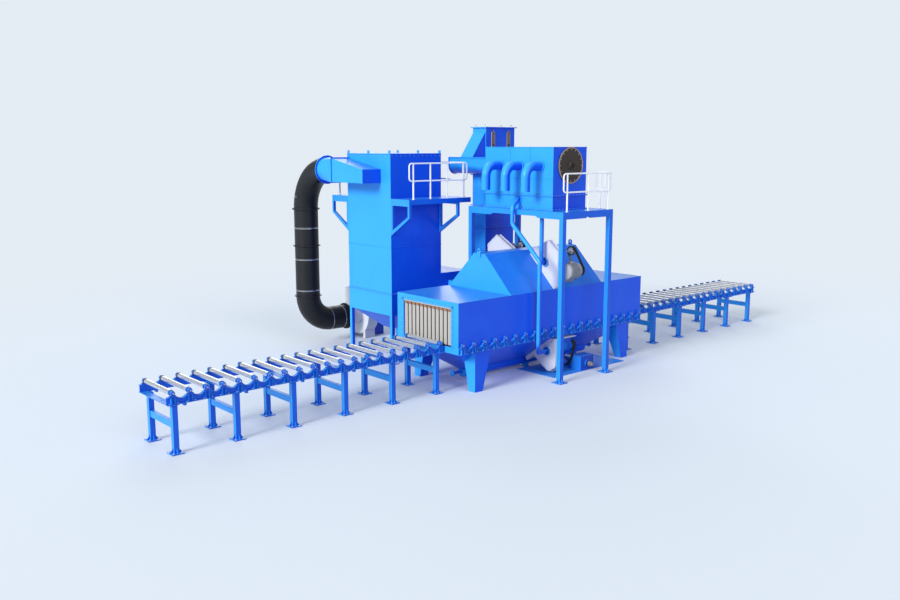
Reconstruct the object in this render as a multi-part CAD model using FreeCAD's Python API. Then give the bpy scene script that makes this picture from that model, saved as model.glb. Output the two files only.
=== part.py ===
import FreeCAD, Part
import math
import os

os.makedirs("parts", exist_ok=True)

# A roller-conveyor shot blasting machine. X runs along the conveyor towards the outfeed,
# Y points away from the operator's side, Z is up. The origin is on the floor, below the
# middle of the blast chamber and of the conveyor. All sizes are millimetres.

# Rollers and their bearings
ROLLER_PITCH = 400.0
CONVEYOR_ROLLERS = 20
CONVEYOR_START = 133.0
CHAMBER_ROLLERS = 20
ROLLER_RADIUS = 57.0
ROLLER_HALF = 672.0
SHAFT_RADIUS = 25.0
AXIS_Z = 1388.0
BEARING_Y = 727.0
BEARING_WIDTH = 60.0
BEARING_R = 51.0
BEARING_FOOT = 24.0
BEARING_FOOT_HALF = 78.0
BEARING_BLOCK_HALF = 45.0
BEARING_CAP_R = 32.0
BEARING_CAP = 16.0
CHAMBER_BEARING_GAP = 14.0

# Rails that carry the bearings
RAIL_BOTTOM = 1130.0
SADDLE_Z = 1310.0
SADDLE_HALF = 92.0
SCALLOP_DROP = 46.0
RAIL_WEB = 12.0
RAIL_INNER_Y = 690.0
RAIL_FLANGE = 82.0
RAIL_PLATE = 10.0
STIFFENER_SPREAD = 42.0
RAIL_END_MARGIN = 140.0
CROSS_PLATE = 190.0
CROSS_PLATE_HOLE = 18.0
CROSS_PLATE_HOLE_Y = 260.0
CLIP_OUT = 110.0
CLIP_WIDTH = 60.0
CLIP_DROP = 50.0

# Conveyor legs
LEG_FRAMES = 6
LEG_START = 200.0
LEG_LAST_INSET = 63.0
LEG_Y = 615.0
POST = 125.0
POST_CAP = 16.0
HAUNCH = 80.0
HAUNCH_DROP = 55.0
FOOT_PLATE = 290.0
FOOT_THICK = 20.0
FOOT_BOLT = 105.0
FOOT_BOLT_R = 11.0
GUSSET = 70.0
GUSSET_RISE = 110.0
GUSSET_THICK = 12.0
CROSS_BAR_Z = 645.0
CROSS_BAR_H = 150.0
CROSS_BAR_W = 90.0

# Blast chamber
CHAMBER_MARGIN = 112.0
CHAMBER_Y = 1302.0
CHAMBER_TOP = 2536.0
WALL = 40.0
DOOR_HALF_Y = 1005.0
DOOR_BOTTOM = 1305.0
DOOR_TOP = 2366.0
SHAFT_HOLE_R = 32.0
CURTAIN_STRIPS = 12
CURTAIN_STRIP = 124.0
CURTAIN_THICK = 8.0
CURTAIN_BOTTOM = 1345.0
CURTAIN_BAR = 32.0

# Hood over the chamber
HOOD_HALF = 1945.0
HOOD_TOP = 3600.0
HOOD_TOP_Y = 230.0
LUG_WIDTH = 140.0
LUG_RISE = 150.0
LUG_THICK = 25.0
LUG_HOLE_R = 28.0
LUG_DROP = 110.0

# Hopper and screw trough below the chamber
HOPPER_INSET = 112.0
HOPPER_RUN = 1188.0
HOPPER_BOTTOM = 165.0
TROUGH_AXIS_Z = 245.0
TROUGH_TOP = 305.0
SADDLE_FEET = 3
SADDLE_FOOT_INSET = 412.0
SADDLE_WEB = 16.0
SADDLE_WEB_INSET = 20.0
SADDLE_FOOT_X = 200.0
SADDLE_FOOT_Y = 330.0
SADDLE_FOOT_THICK = 15.0
SCREW_SHAFT_R = 45.0
SCREW_SHAFT_OUT = 380.0
SCREW_FLANGE_R = 90.0
SCREW_FLANGE = 30.0

# Tapered legs of the chamber
CHAMBER_LEG_INSET = 609.0
CHAMBER_LEG_FOOT_X = 288.0
CHAMBER_LEG_FOOT_Y = 252.0
CHAMBER_LEG_TOP_X = 600.0
CHAMBER_LEG_TOP_Y = 500.0

# Blast wheels: outlines and axes are lengths along the sloped face and heights above it
WHEEL_HALF = 215.0
WHEEL_BASE = 90.0
WHEEL_CASING = 165.0
WHEEL_DRUM_R = 235.0
WHEEL_DRUM = 190.0
UPPER_WHEEL_OUTLINE = [(0, 0), (-28, 159), (651, 877), (1150, 827), (1347, 129), (1347, 0)]
LOWER_WHEEL_OUTLINE = [(112, 0), (-75, 136), (417, 765), (643, 783), (753, 723), (854, 490), (981, 110),
                       (1353, 110), (1353, 0)]
UPPER_INLET = (777.0, 322.0)
LOWER_INLET = (405.0, 260.0)
UPPER_SPINDLE = (900.0, 540.0)
LOWER_SPINDLE = (660.0, 600.0)
INLET_RING_R = 127.0
INLET_BORE_R = 80.0
INLET_RING = 60.0
INLET_DEPTH = 45.0
SPINDLE_R = 95.0
SPINDLE_END = 480.0
WHEEL_PULLEY_R = 130.0
MOTOR_PULLEY_R = 165.0
BELT_WIDTH = 90.0
BELT_THICK = 12.0
UPPER_MOTOR = (300.0, 370.0)
UPPER_MOTOR_R = 215.0
UPPER_MOTOR_X = 235.0
UPPER_MOTOR_LENGTH = 510.0
UPPER_BELT_X = 800.0
LOWER_MOTOR = (226.0, 274.0)
LOWER_MOTOR_R = 130.0
LOWER_MOTOR_X = 230.0
LOWER_MOTOR_LENGTH = 310.0
LOWER_BELT_X = 560.0
LOWER_ROOF_X1 = 680.0
LOWER_ROOF_THICK = 16.0
MOTOR_SEAT = 0.65

# Abrasive feed pipes from the separator bin to the near blast wheels
FEED_PIPE_R = 62.0
UPPER_FEED_BEND = 120.0
LOWER_FEED_BEND = 170.0
UPPER_FEED_OUT = 190.0
LOWER_FEED_OUT = 425.0
LOWER_FEED_Y = -180.0
LOWER_FEED_SHIFT = 210.0
LOWER_FEED_SINK = 80.0
LOWER_FEED_BELOW = 80.0
LOWER_FEED_RISE = 75.0
LOWER_FEED_PASS = 420.0
LOWER_FEED_SIDE = 363.0
LOWER_FEED_DROP = 420.0
UPPER_ELBOW_DROP = 1415.0
LOWER_ELBOW_RISE = 318.0

# Separator on its platform
BIN_X0 = -591.0
BIN_X1 = 815.0
BIN_Y0 = -1548.0
BIN_Y1 = 1180.0
DECK_Z = 4830.0
BIN_HEIGHT = 425.0
DRUM_HEIGHT = 1348.0
BIN_FLANGE = 45.0
BIN_FLANGE_THICK = 30.0
DRUM_END_R = 505.0
DRUM_END_RISE = 834.0
DRUM_END_THICK = 30.0
DRUM_HUB_R = 95.0
DRUM_HUB = 60.0
VENT_R = 130.0
VENT_OUT = 590.0
VENT_RISE = 811.0
VENT_END_RISE = 110.0
VENT_BEND = 300.0
VENT_PITCH = 800.0
VENT_MIDDLE_Y = -250.0
VENT_COLLAR_R = 165.0
VENT_COLLAR = 30.0

# Separator platform
PLATFORM_X0 = -870.0
PLATFORM_X1 = 1280.0
PLATFORM_Y0 = -2200.0
PLATFORM_Y1 = 1640.0
PLATFORM_BEAM = 150.0
PLATFORM_BEAM_W = 90.0
PLATFORM_PLATE = 8.0
COLUMN = 140.0
COLUMN_FOOT = 330.0
COLUMN_HAUNCH = 900.0
COLUMN_HAUNCH_TAPER = 80.0
COLUMN_HAUNCH_THICK = 50.0

# Handrails of both platforms
RAIL_TUBE_R = 22.0
RAIL_POST_R = 25.0
RAIL_HEIGHT = 1050.0
RAIL_MIDDLE = 540.0
RAIL_BEND = 90.0
RAIL_EDGE = 45.0
RAIL_OVERHANG = 150.0
RAIL_FLANGE_R = 50.0
RAIL_FLANGE_THICK = 10.0

# Bucket elevator
ELEVATOR_X0 = 425.0
ELEVATOR_X1 = 1690.0
ELEVATOR_Y0 = 2250.0
ELEVATOR_Y1 = 2860.0
ELEVATOR_HEAD_BELOW = 550.0
ELEVATOR_CAP = 145.0
ELEVATOR_JOINT = 708.0
ELEVATOR_JOINTS = 6
ELEVATOR_JOINT_Z = 1200.0
ELEVATOR_FLANGE = 55.0
ELEVATOR_FLANGE_THICK = 24.0
CHUTE_OUT = 550.0
CHUTE_HEIGHT = 790.0
CHUTE_INSET = 30.0

# Trough that carries the shot from the elevator to the separator
CARRY_X0 = -135.0
CARRY_X1 = 365.0
CARRY_END = 3362.0
CARRY_BELOW = 313.0
CARRY_FLANGE = 24.0
CARRY_LIP = 30.0

# Dust collector
COLLECTOR_X0 = -2980.0
COLLECTOR_X1 = -1000.0
COLLECTOR_Y0 = 2780.0
COLLECTOR_Y1 = 5000.0
COLLECTOR_HEAD = 1335.0
COLLECTOR_SKIRT_HEIGHT = 660.0
COLLECTOR_JOINT_THICK = 24.0
COLLECTOR_SKIRT = 1500.0
COLLECTOR_FLANGE = 35.0
COLLECTOR_LEG = 110.0
COLLECTOR_LUG_RISE = 90.0
COLLECTOR_LUG_DROP = 40.0
COLLECTOR_LUG_HALF = 45.0
COLLECTOR_LUG_THICK = 20.0
COLLECTOR_LUG_INSET = 60.0
SKIRT_INSET = 60.0
DISCHARGE_SIDE = 500.0
DISCHARGE_Z = 900.0

# Platform around the dust collector
WALK_Z = 5075.0
WALK_DEPTH = 880.0
WALK_SIDE = 460.0
WALK_BEAM = 150.0
BRACE = 80.0
BRACE_DROP = 400.0
BRACE_RISE = 560.0

# Inlet box and duct of the dust collector
INLET_OUT = 680.0
INLET_NEAR_INSET = 480.0
INLET_FAR_INSET = 130.0
INLET_RISE = 455.0
INLET_NEAR_HEIGHT = 415.0
INLET_FAR_HEIGHT = 725.0
INLET_LIP = 30.0
DUCT_R = 395.0
DUCT_RING_R = 450.0
DUCT_RING = 24.0
DUCT_TOP_RISE = 360.0
DUCT_TOP_RUN = 770.0
DUCT_TOP_BEND = 1300.0
DUCT_LOW_BEND = 870.0
DUCT_LOW_Z = 800.0
DUCT_RISER_JOINT = 1685.0

# Exhaust fan behind the dust collector
FAN_X0 = -1330.0
FAN_WIDTH = 420.0
FAN_R = 690.0
FAN_INLET_X = -1830.0
FAN_INLET_R = 330.0
FAN_OUTLET = 480.0
FAN_OUTLET_TOP = 1700.0
FAN_MOTOR_R = 190.0
FAN_MOTOR_LENGTH = 480.0
FAN_STAND = 110.0

# Dust box on the dust collector's side, and its neck from the chamber
DUST_BOX_TOP = 2659.0
DUST_BOX_BOTTOM = 1600.0
DUST_BOX_WIDTH = 1200.0
DUST_BOX_DEPTH = 1370.0
DUST_NECK_GAP = 40.0
DUST_NECK_WIDTH = 790.0
DUST_NECK_BOTTOM = 1500.0
DUST_NECK_TOP = 2400.0

# Steel cover of the pit and the screw drive on it
COVER_X0 = -500.0
COVER_X1 = 2730.0
COVER_Y0 = -1640.0
COVER_THICK = 12.0
DRIVE_X0 = 700.0
DRIVE_X1 = 1280.0
DRIVE_Y0 = -1620.0
DRIVE_Y1 = -1240.0
DRIVE_HEIGHT = 430.0
DRIVE_FLANGE_R = 115.0
DRIVE_SHAFT_R = 35.0
DRIVE_SHAFT = 190.0

# Places that follow from the sizes above
CHAMBER_FIRST = (CHAMBER_ROLLERS - 1) * ROLLER_PITCH / 2
CHAMBER_HALF = CHAMBER_FIRST + CHAMBER_MARGIN
CONVEYOR_FIRST = CHAMBER_HALF + CONVEYOR_START
CONVEYOR_LAST = CONVEYOR_FIRST + (CONVEYOR_ROLLERS - 1) * ROLLER_PITCH
LEG_FIRST = CHAMBER_HALF + LEG_START
LEG_PITCH = (CONVEYOR_LAST - LEG_LAST_INSET - LEG_FIRST) / (LEG_FRAMES - 1)
CHAMBER_LEG_X = CHAMBER_HALF - CHAMBER_LEG_INSET
HOPPER_HALF_TOP = CHAMBER_HALF - HOPPER_INSET
HOPPER_HALF = HOPPER_HALF_TOP - HOPPER_RUN
SADDLE_FOOT_PITCH = HOPPER_HALF - SADDLE_FOOT_INSET
BIN_TOP = DECK_Z + BIN_HEIGHT
DRUM_TOP = BIN_TOP + DRUM_HEIGHT
DRUM_END_Z = BIN_TOP + DRUM_END_RISE
VENT_Z = BIN_TOP + VENT_RISE
VENT_BOTTOM = BIN_TOP + VENT_END_RISE
CARRY_TOP = DRUM_TOP - CARRY_BELOW
CHUTE_TOP = CARRY_TOP + CHUTE_HEIGHT
ELEVATOR_TOP = CHUTE_TOP + ELEVATOR_CAP
ELEVATOR_HEAD_Z = CARRY_TOP - ELEVATOR_HEAD_BELOW
COLLECTOR_TOP = WALK_Z + COLLECTOR_HEAD
COLLECTOR_JOINT = COLLECTOR_SKIRT + COLLECTOR_SKIRT_HEIGHT
INLET_Y0 = COLLECTOR_Y0 + INLET_NEAR_INSET
INLET_Y1 = COLLECTOR_Y1 - INLET_FAR_INSET
INLET_Z0 = WALK_Z + INLET_RISE
INLET_TOP_NEAR = INLET_Z0 + INLET_NEAR_HEIGHT
INLET_TOP_FAR = INLET_Z0 + INLET_FAR_HEIGHT
DUCT_TOP_Z = INLET_Z0 + DUCT_TOP_RISE
DUCT_TOP_Y = INLET_Y1 + DUCT_TOP_RUN
CHAMBER_BEARING_Y = CHAMBER_Y + CHAMBER_BEARING_GAP + BEARING_WIDTH / 2
DUCT_X = COLLECTOR_X0 - INLET_OUT / 2
DUCT_Y = DUCT_TOP_Y + DUCT_TOP_BEND
DRUM_END_X = (BIN_X0 + BIN_X1) / 2


def vec(x, y, z):
    return FreeCAD.Vector(x, y, z)


def box(x0, x1, y0, y1, z0, z1):
    return Part.makeBox(x1 - x0, y1 - y0, z1 - z0, vec(x0, y0, z0))


def rod(start, end, radius):
    axis = vec(*end) - vec(*start)
    return Part.makeCylinder(radius, axis.Length, vec(*start), axis)


def fuse(shapes):
    joined = shapes[0].multiFuse(shapes[1:])
    return joined.removeSplitter()


def prism(points, travel):
    corners = [vec(*p) for p in points]
    face = Part.Face(Part.makePolygon(corners + corners[:1]))
    return face.extrude(vec(*travel))


def mirror_x(shape):
    return shape.mirror(vec(0, 0, 0), vec(1, 0, 0))


def mirror_y(shape):
    return shape.mirror(vec(0, 0, 0), vec(0, 1, 0))


def save(name, shapes):
    whole = Part.makeCompound(shapes) if len(shapes) > 1 else shapes[0]
    whole.exportStep("parts/" + name + ".step")


def conveyor_places():
    return [CONVEYOR_FIRST + i * ROLLER_PITCH for i in range(CONVEYOR_ROLLERS)]


def chamber_places():
    return [i * ROLLER_PITCH - CHAMBER_FIRST for i in range(CHAMBER_ROLLERS)]


def roller(x, half_tube, half_shaft):
    tube = rod((x, -half_tube, AXIS_Z), (x, half_tube, AXIS_Z), ROLLER_RADIUS)
    shaft = rod((x, -half_shaft, AXIS_Z), (x, half_shaft, AXIS_Z), SHAFT_RADIUS)
    return fuse([tube, shaft])


def bearing(x, y):
    """A round housing on its block and foot, with the end cap on the outer side."""
    inner = y - BEARING_WIDTH / 2
    outer = inner + BEARING_WIDTH
    foot_half = BEARING_FOOT_HALF
    half = BEARING_BLOCK_HALF
    foot = box(x - foot_half, x + foot_half, inner, outer, SADDLE_Z, SADDLE_Z + BEARING_FOOT)
    block = box(x - half, x + half, inner, outer, SADDLE_Z, AXIS_Z)
    housing = rod((x, inner, AXIS_Z), (x, outer, AXIS_Z), BEARING_R)
    cap = rod((x, outer, AXIS_Z), (x, outer + BEARING_CAP, AXIS_Z), BEARING_CAP_R)
    return fuse([foot, block, housing, cap])


def scallop_edges(places, x0, x1, y, top):
    """Edges of the rail's top line: flat under each bearing, hollow between them."""
    edges = []
    last = vec(x0, y, top)
    for i, x in enumerate(places):
        seat_end = min(x + SADDLE_HALF, x1)
        edges.append(Part.LineSegment(last, vec(seat_end, y, top)).toShape())
        last = vec(seat_end, y, top)
        if i + 1 < len(places):
            middle = vec((x + places[i + 1]) / 2, y, top - SCALLOP_DROP)
            nxt = vec(places[i + 1] - SADDLE_HALF, y, top)
            edges.append(Part.Arc(last, middle, nxt).toShape())
            last = nxt
    if x1 - last.x > 0.5:
        edges.append(Part.LineSegment(last, vec(x1, y, top)).toShape())
        last = vec(x1, y, top)
    return edges


def strip_face(places, x0, x1, y, top, bottom):
    edges = scallop_edges(places, x0, x1, y, top)
    down = [vec(x1, y, top), vec(x1, y, bottom), vec(x0, y, bottom), vec(x0, y, top)]
    for a, b in zip(down, down[1:]):
        edges.append(Part.LineSegment(a, b).toShape())
    return Part.Face(Part.Wire(edges))


def flange_strip(places, x0, x1, y):
    upper = scallop_edges(places, x0, x1, y, SADDLE_Z)
    lower = scallop_edges(places, x0, x1, y, SADDLE_Z - RAIL_PLATE)
    ends = []
    for x in (x0, x1):
        ends.append(Part.LineSegment(vec(x, y, SADDLE_Z), vec(x, y, SADDLE_Z - RAIL_PLATE)).toShape())
    return Part.Face(Part.Wire(Part.__sortEdges__(upper + lower + ends)))


def bearing_rail(places, x0, x1, y):
    """A channel open towards +Y with its web at y and a pair of stiffeners below each bearing."""
    web = strip_face(places, x0, x1, y, SADDLE_Z, RAIL_BOTTOM).extrude(vec(0, RAIL_WEB, 0))
    top = flange_strip(places, x0, x1, y).extrude(vec(0, RAIL_FLANGE, 0))
    bottom = box(x0, x1, y, y + RAIL_FLANGE, RAIL_BOTTOM, RAIL_BOTTOM + RAIL_PLATE)
    ribs = []
    rib_top = SADDLE_Z - RAIL_PLATE / 2
    for x in places:
        for side in (-1, 1):
            left = x + side * STIFFENER_SPREAD - RAIL_PLATE / 2
            ribs.append(box(left, left + RAIL_PLATE, y, y + RAIL_FLANGE - 4, RAIL_BOTTOM, rib_top))
    return fuse([web, top, bottom] + ribs)


def cross_plate(x0, x1):
    """A flat plate between the two rails, with two round holes."""
    top = RAIL_BOTTOM + RAIL_WEB
    plate = box(x0, x1, -RAIL_INNER_Y, RAIL_INNER_Y, RAIL_BOTTOM, top)
    for side in (-1, 1):
        centre = ((x0 + x1) / 2, side * CROSS_PLATE_HOLE_Y)
        plate = plate.cut(rod((*centre, RAIL_BOTTOM - 1), (*centre, top + 1), CROSS_PLATE_HOLE))
    return plate


def rail_clip(x):
    """A block under the far rail, on the chamber's side of the leg at x."""
    x1 = x - POST / 2 - CLIP_OUT
    y1 = RAIL_INNER_Y + RAIL_FLANGE
    return box(x1 - CLIP_WIDTH, x1, RAIL_INNER_Y, y1, RAIL_BOTTOM - CLIP_DROP, RAIL_BOTTOM)


def conveyor_bed():
    places = conveyor_places()
    x0 = CHAMBER_HALF
    x1 = CONVEYOR_LAST + RAIL_END_MARGIN
    far = bearing_rail(places, x0, x1, RAIL_INNER_Y)
    pieces = [far, mirror_y(far), cross_plate(x1 - CROSS_PLATE, x1)]
    half = CROSS_PLATE / 2
    for i in range(LEG_FRAMES):
        x = LEG_FIRST + i * LEG_PITCH
        if x + half < x1 - CROSS_PLATE:
            pieces.append(cross_plate(x - half, x + half))
        if i > 0:
            clip = rail_clip(x)
            pieces += [clip, mirror_y(clip)]
    return fuse(pieces)


def foot_plate(x, y, side, thick):
    half = side / 2
    plate = box(x - half, x + half, y - half, y + half, 0, thick)
    for sx in (-1, 1):
        for sy in (-1, 1):
            hx = x + sx * FOOT_BOLT
            hy = y + sy * FOOT_BOLT
            plate = plate.cut(rod((hx, hy, -1), (hx, hy, thick + 1), FOOT_BOLT_R))
    return plate


def gussets(x, y, half_post, base):
    pieces = []
    t = GUSSET_THICK / 2
    for side in (-1, 1):
        inner = side * half_post
        outer = side * (half_post + GUSSET)
        along_x = [(x + inner, y - t, base), (x + outer, y - t, base),
                   (x + inner, y - t, base + GUSSET_RISE)]
        pieces.append(prism(along_x, (0, GUSSET_THICK, 0)))
        along_y = [(x - t, y + inner, base), (x - t, y + outer, base),
                   (x - t, y + inner, base + GUSSET_RISE)]
        pieces.append(prism(along_y, (GUSSET_THICK, 0, 0)))
    return pieces


def haunch(x, low, high):
    """A curved filler under the rail, from the post's outer side at x, between low and high along Y."""
    top = RAIL_BOTTOM - POST_CAP
    corner = vec(x, low, top)
    tip = vec(x + HAUNCH, low, top)
    heel = vec(x, low, top - HAUNCH_DROP)
    middle = vec(x + HAUNCH * 0.4, low, top - HAUNCH_DROP * 0.36)
    edges = [Part.LineSegment(corner, tip).toShape(), Part.Arc(tip, middle, heel).toShape(),
             Part.LineSegment(heel, corner).toShape()]
    return Part.Face(Part.Wire(edges)).extrude(vec(0, high - low, 0))


def leg_frame(x):
    half = POST / 2
    low = LEG_Y - half
    high = LEG_Y + half
    rail_side = RAIL_INNER_Y + RAIL_FLANGE
    post = box(x - half, x + half, low, high, FOOT_THICK, RAIL_BOTTOM)
    cap = box(x - half, x + half + HAUNCH, low, rail_side, RAIL_BOTTOM - POST_CAP, RAIL_BOTTOM)
    pieces = [post, cap, haunch(x + half, low, high), foot_plate(x, LEG_Y, FOOT_PLATE, FOOT_THICK)]
    far = fuse(pieces + gussets(x, LEG_Y, half, FOOT_THICK))
    z0 = CROSS_BAR_Z - CROSS_BAR_H / 2
    bar = box(x - CROSS_BAR_W / 2, x + CROSS_BAR_W / 2, -low, low, z0, z0 + CROSS_BAR_H)
    return fuse([far, mirror_y(far), bar])


def conveyor():
    places = conveyor_places()
    inner = BEARING_Y - BEARING_WIDTH / 2
    rollers = [roller(x, ROLLER_HALF, inner) for x in places]
    far = [bearing(x, BEARING_Y) for x in places]
    outfeed = far + [mirror_y(b) for b in far]
    legs = [leg_frame(LEG_FIRST + i * LEG_PITCH) for i in range(LEG_FRAMES)]
    bed = [conveyor_bed()]
    for name, shapes in (("bed", bed), ("rollers", rollers), ("legs", legs)):
        save("outfeed_" + name, shapes)
        save("infeed_" + name, [mirror_x(s) for s in shapes])
    chamber_far = [bearing(x, CHAMBER_BEARING_Y) for x in chamber_places()]
    inside = chamber_far + [mirror_y(b) for b in chamber_far]
    save("roller_bearings", outfeed + [mirror_x(b) for b in outfeed] + inside)


def chamber_wall():
    inner = CHAMBER_Y - WALL
    ends = CHAMBER_HALF - WALL
    wall = box(-ends, ends, inner, CHAMBER_Y, RAIL_BOTTOM, CHAMBER_TOP - WALL)
    holes = []
    for x in chamber_places():
        holes.append(rod((x, inner - 5, AXIS_Z), (x, CHAMBER_Y + 5, AXIS_Z), SHAFT_HOLE_R))
    return wall.cut(Part.makeCompound(holes))


def chamber_end(x0):
    plate = box(x0, x0 + WALL, -CHAMBER_Y, CHAMBER_Y, RAIL_BOTTOM, CHAMBER_TOP)
    door = box(x0 - 5, x0 + WALL + 5, -DOOR_HALF_Y, DOOR_HALF_Y, DOOR_BOTTOM, DOOR_TOP)
    return plate.cut(door)


def curtain():
    """Hanging strips in the outfeed doorway, and the bar that holds them."""
    x = CHAMBER_HALF - WALL / 2
    half_bar = CURTAIN_BAR / 2
    bar = box(x - half_bar, x + half_bar, -DOOR_HALF_Y, DOOR_HALF_Y, DOOR_TOP - CURTAIN_BAR, DOOR_TOP)
    pitch = 2 * DOOR_HALF_Y / CURTAIN_STRIPS
    half = CURTAIN_THICK / 2
    pieces = [bar]
    for i in range(CURTAIN_STRIPS):
        y0 = (i + 0.5) * pitch - DOOR_HALF_Y - CURTAIN_STRIP / 2
        y1 = y0 + CURTAIN_STRIP
        pieces.append(box(x - half, x + half, y0, y1, CURTAIN_BOTTOM, DOOR_TOP - CURTAIN_BAR))
    return [fuse(pieces)]


def chamber():
    far = chamber_wall()
    save("chamber_far_wall", [far])
    save("chamber_near_wall", [mirror_y(far)])
    ends = CHAMBER_HALF - WALL
    outfeed = chamber_end(ends)
    save("chamber_outfeed_end", [outfeed])
    save("chamber_infeed_end", [mirror_x(outfeed)])
    places = chamber_places()
    inner = CHAMBER_BEARING_Y - BEARING_WIDTH / 2
    half_tube = CHAMBER_Y - WALL - 30
    save("chamber_rollers", [roller(x, half_tube, inner) for x in places])
    rail = bearing_rail(places, -CHAMBER_HALF, CHAMBER_HALF, CHAMBER_Y)
    save("chamber_bearing_rails", [rail, mirror_y(rail)])
    strips = curtain()
    save("outfeed_curtain", strips)
    save("infeed_curtain", [mirror_x(s) for s in strips])


def lug(x, z_top, rise):
    """A round-topped lifting eye on an end face at x, standing above z_top."""
    half = LUG_WIDTH / 2
    centre = z_top + rise - half
    tab = box(x, x + LUG_THICK, -half, half, z_top - LUG_DROP, centre)
    head = rod((x, 0, centre), (x + LUG_THICK, 0, centre), half)
    eye = rod((x - 1, 0, centre), (x + LUG_THICK + 1, 0, centre), LUG_HOLE_R)
    return fuse([tab, head]).cut(eye)


def hood_body():
    outline = [
        (-HOOD_HALF, -CHAMBER_Y, CHAMBER_TOP),
        (-HOOD_HALF, -HOOD_TOP_Y, HOOD_TOP),
        (-HOOD_HALF, HOOD_TOP_Y, HOOD_TOP),
        (-HOOD_HALF, CHAMBER_Y, CHAMBER_TOP),
    ]
    return prism(outline, (2 * HOOD_HALF, 0, 0))


def hood():
    ends = CHAMBER_HALF - WALL
    roof = box(-ends, ends, -CHAMBER_Y, CHAMBER_Y, CHAMBER_TOP - WALL, CHAMBER_TOP)
    outfeed = lug(HOOD_HALF, HOOD_TOP, LUG_RISE)
    save("chamber_roof", [fuse([roof, hood_body(), outfeed, mirror_x(outfeed)])])


def hopper_body():
    top = [
        (-HOPPER_HALF_TOP, -CHAMBER_Y), (HOPPER_HALF_TOP, -CHAMBER_Y),
        (HOPPER_HALF_TOP, CHAMBER_Y), (-HOPPER_HALF_TOP, CHAMBER_Y),
    ]
    low = [
        (-HOPPER_HALF, -HOPPER_BOTTOM), (HOPPER_HALF, -HOPPER_BOTTOM),
        (HOPPER_HALF, HOPPER_BOTTOM), (-HOPPER_HALF, HOPPER_BOTTOM),
    ]
    upper = Part.makePolygon([vec(x, y, RAIL_BOTTOM) for x, y in top + top[:1]])
    lower = Part.makePolygon([vec(x, y, TROUGH_TOP) for x, y in low + low[:1]])
    return Part.makeLoft([lower, upper], True, True)


def screw_trough():
    r = HOPPER_BOTTOM
    corners = [vec(-HOPPER_HALF, -r, TROUGH_AXIS_Z), vec(-HOPPER_HALF, -r, TROUGH_TOP),
               vec(-HOPPER_HALF, r, TROUGH_TOP), vec(-HOPPER_HALF, r, TROUGH_AXIS_Z)]
    sides = [Part.LineSegment(a, b).toShape() for a, b in zip(corners, corners[1:])]
    round_bottom = Part.Arc(corners[3], vec(-HOPPER_HALF, 0, TROUGH_AXIS_Z - r), corners[0]).toShape()
    shell = Part.Face(Part.Wire(sides + [round_bottom])).extrude(vec(2 * HOPPER_HALF, 0, 0))
    pieces = [shell]
    for i in range(SADDLE_FEET):
        x = (i - (SADDLE_FEET - 1) / 2) * SADDLE_FOOT_PITCH
        half_x = SADDLE_FOOT_X / 2
        half_y = SADDLE_FOOT_Y / 2
        pieces.append(box(x - half_x, x + half_x, -half_y, half_y, 0, SADDLE_FOOT_THICK))
        web = SADDLE_WEB / 2
        reach = half_y - SADDLE_WEB_INSET
        pieces.append(box(x - web, x + web, -reach, reach, 0, TROUGH_AXIS_Z))
    return fuse(pieces)


def screw_shaft():
    x0 = HOPPER_HALF
    shaft = rod((x0, 0, TROUGH_AXIS_Z), (x0 + SCREW_SHAFT_OUT, 0, TROUGH_AXIS_Z), SCREW_SHAFT_R)
    x1 = x0 + SCREW_SHAFT_OUT - SCREW_FLANGE
    flange = rod((x1, 0, TROUGH_AXIS_Z), (x1 + SCREW_FLANGE, 0, TROUGH_AXIS_Z), SCREW_FLANGE_R)
    return fuse([shaft, flange])


def chamber_leg(funnel):
    x0 = CHAMBER_LEG_X
    y0 = CHAMBER_Y
    foot = [
        (x0, y0), (x0 - CHAMBER_LEG_FOOT_X, y0),
        (x0 - CHAMBER_LEG_FOOT_X, y0 - CHAMBER_LEG_FOOT_Y), (x0, y0 - CHAMBER_LEG_FOOT_Y),
    ]
    head = [
        (x0, y0), (x0 - CHAMBER_LEG_TOP_X, y0),
        (x0 - CHAMBER_LEG_TOP_X, y0 - CHAMBER_LEG_TOP_Y), (x0, y0 - CHAMBER_LEG_TOP_Y),
    ]
    low = Part.makePolygon([vec(x, y, 0) for x, y in foot + foot[:1]])
    top = Part.makePolygon([vec(x, y, RAIL_BOTTOM) for x, y in head + head[:1]])
    return Part.makeLoft([low, top], True, True).cut(funnel)


def lower_parts():
    funnel = hopper_body()
    save("lower_hopper", [funnel])
    shaft = screw_shaft()
    save("screw_trough", [screw_trough(), shaft, mirror_x(shaft)])
    leg = chamber_leg(funnel)
    pair = [leg, mirror_y(leg)]
    save("chamber_legs", pair + [mirror_x(s) for s in pair])


def slope_frame(y0, z0, y1, z1):
    """Returns a function that places a length along a sloped face and a height above it."""
    length = math.hypot(y1 - y0, z1 - z0)
    along = ((y1 - y0) / length, (z1 - z0) / length)
    sign = 1 if z1 > z0 else -1
    out = (-along[1] * sign, along[0] * sign)

    def place(s, n):
        return (y0 + along[0] * s + out[0] * n, z0 + along[1] * s + out[1] * n)

    return place


def upper_place(s, n):
    return slope_frame(-CHAMBER_Y, CHAMBER_TOP, -HOOD_TOP_Y, HOOD_TOP)(s, n)


def lower_place(s, n):
    return slope_frame(-CHAMBER_Y, RAIL_BOTTOM, -HOPPER_BOTTOM, TROUGH_TOP)(s, n)


def slope_prism(outline, place, x0, x1):
    corners = [place(s, n) for s, n in outline]
    return prism([(x0, y, z) for y, z in corners], (x1 - x0, 0, 0))


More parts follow.
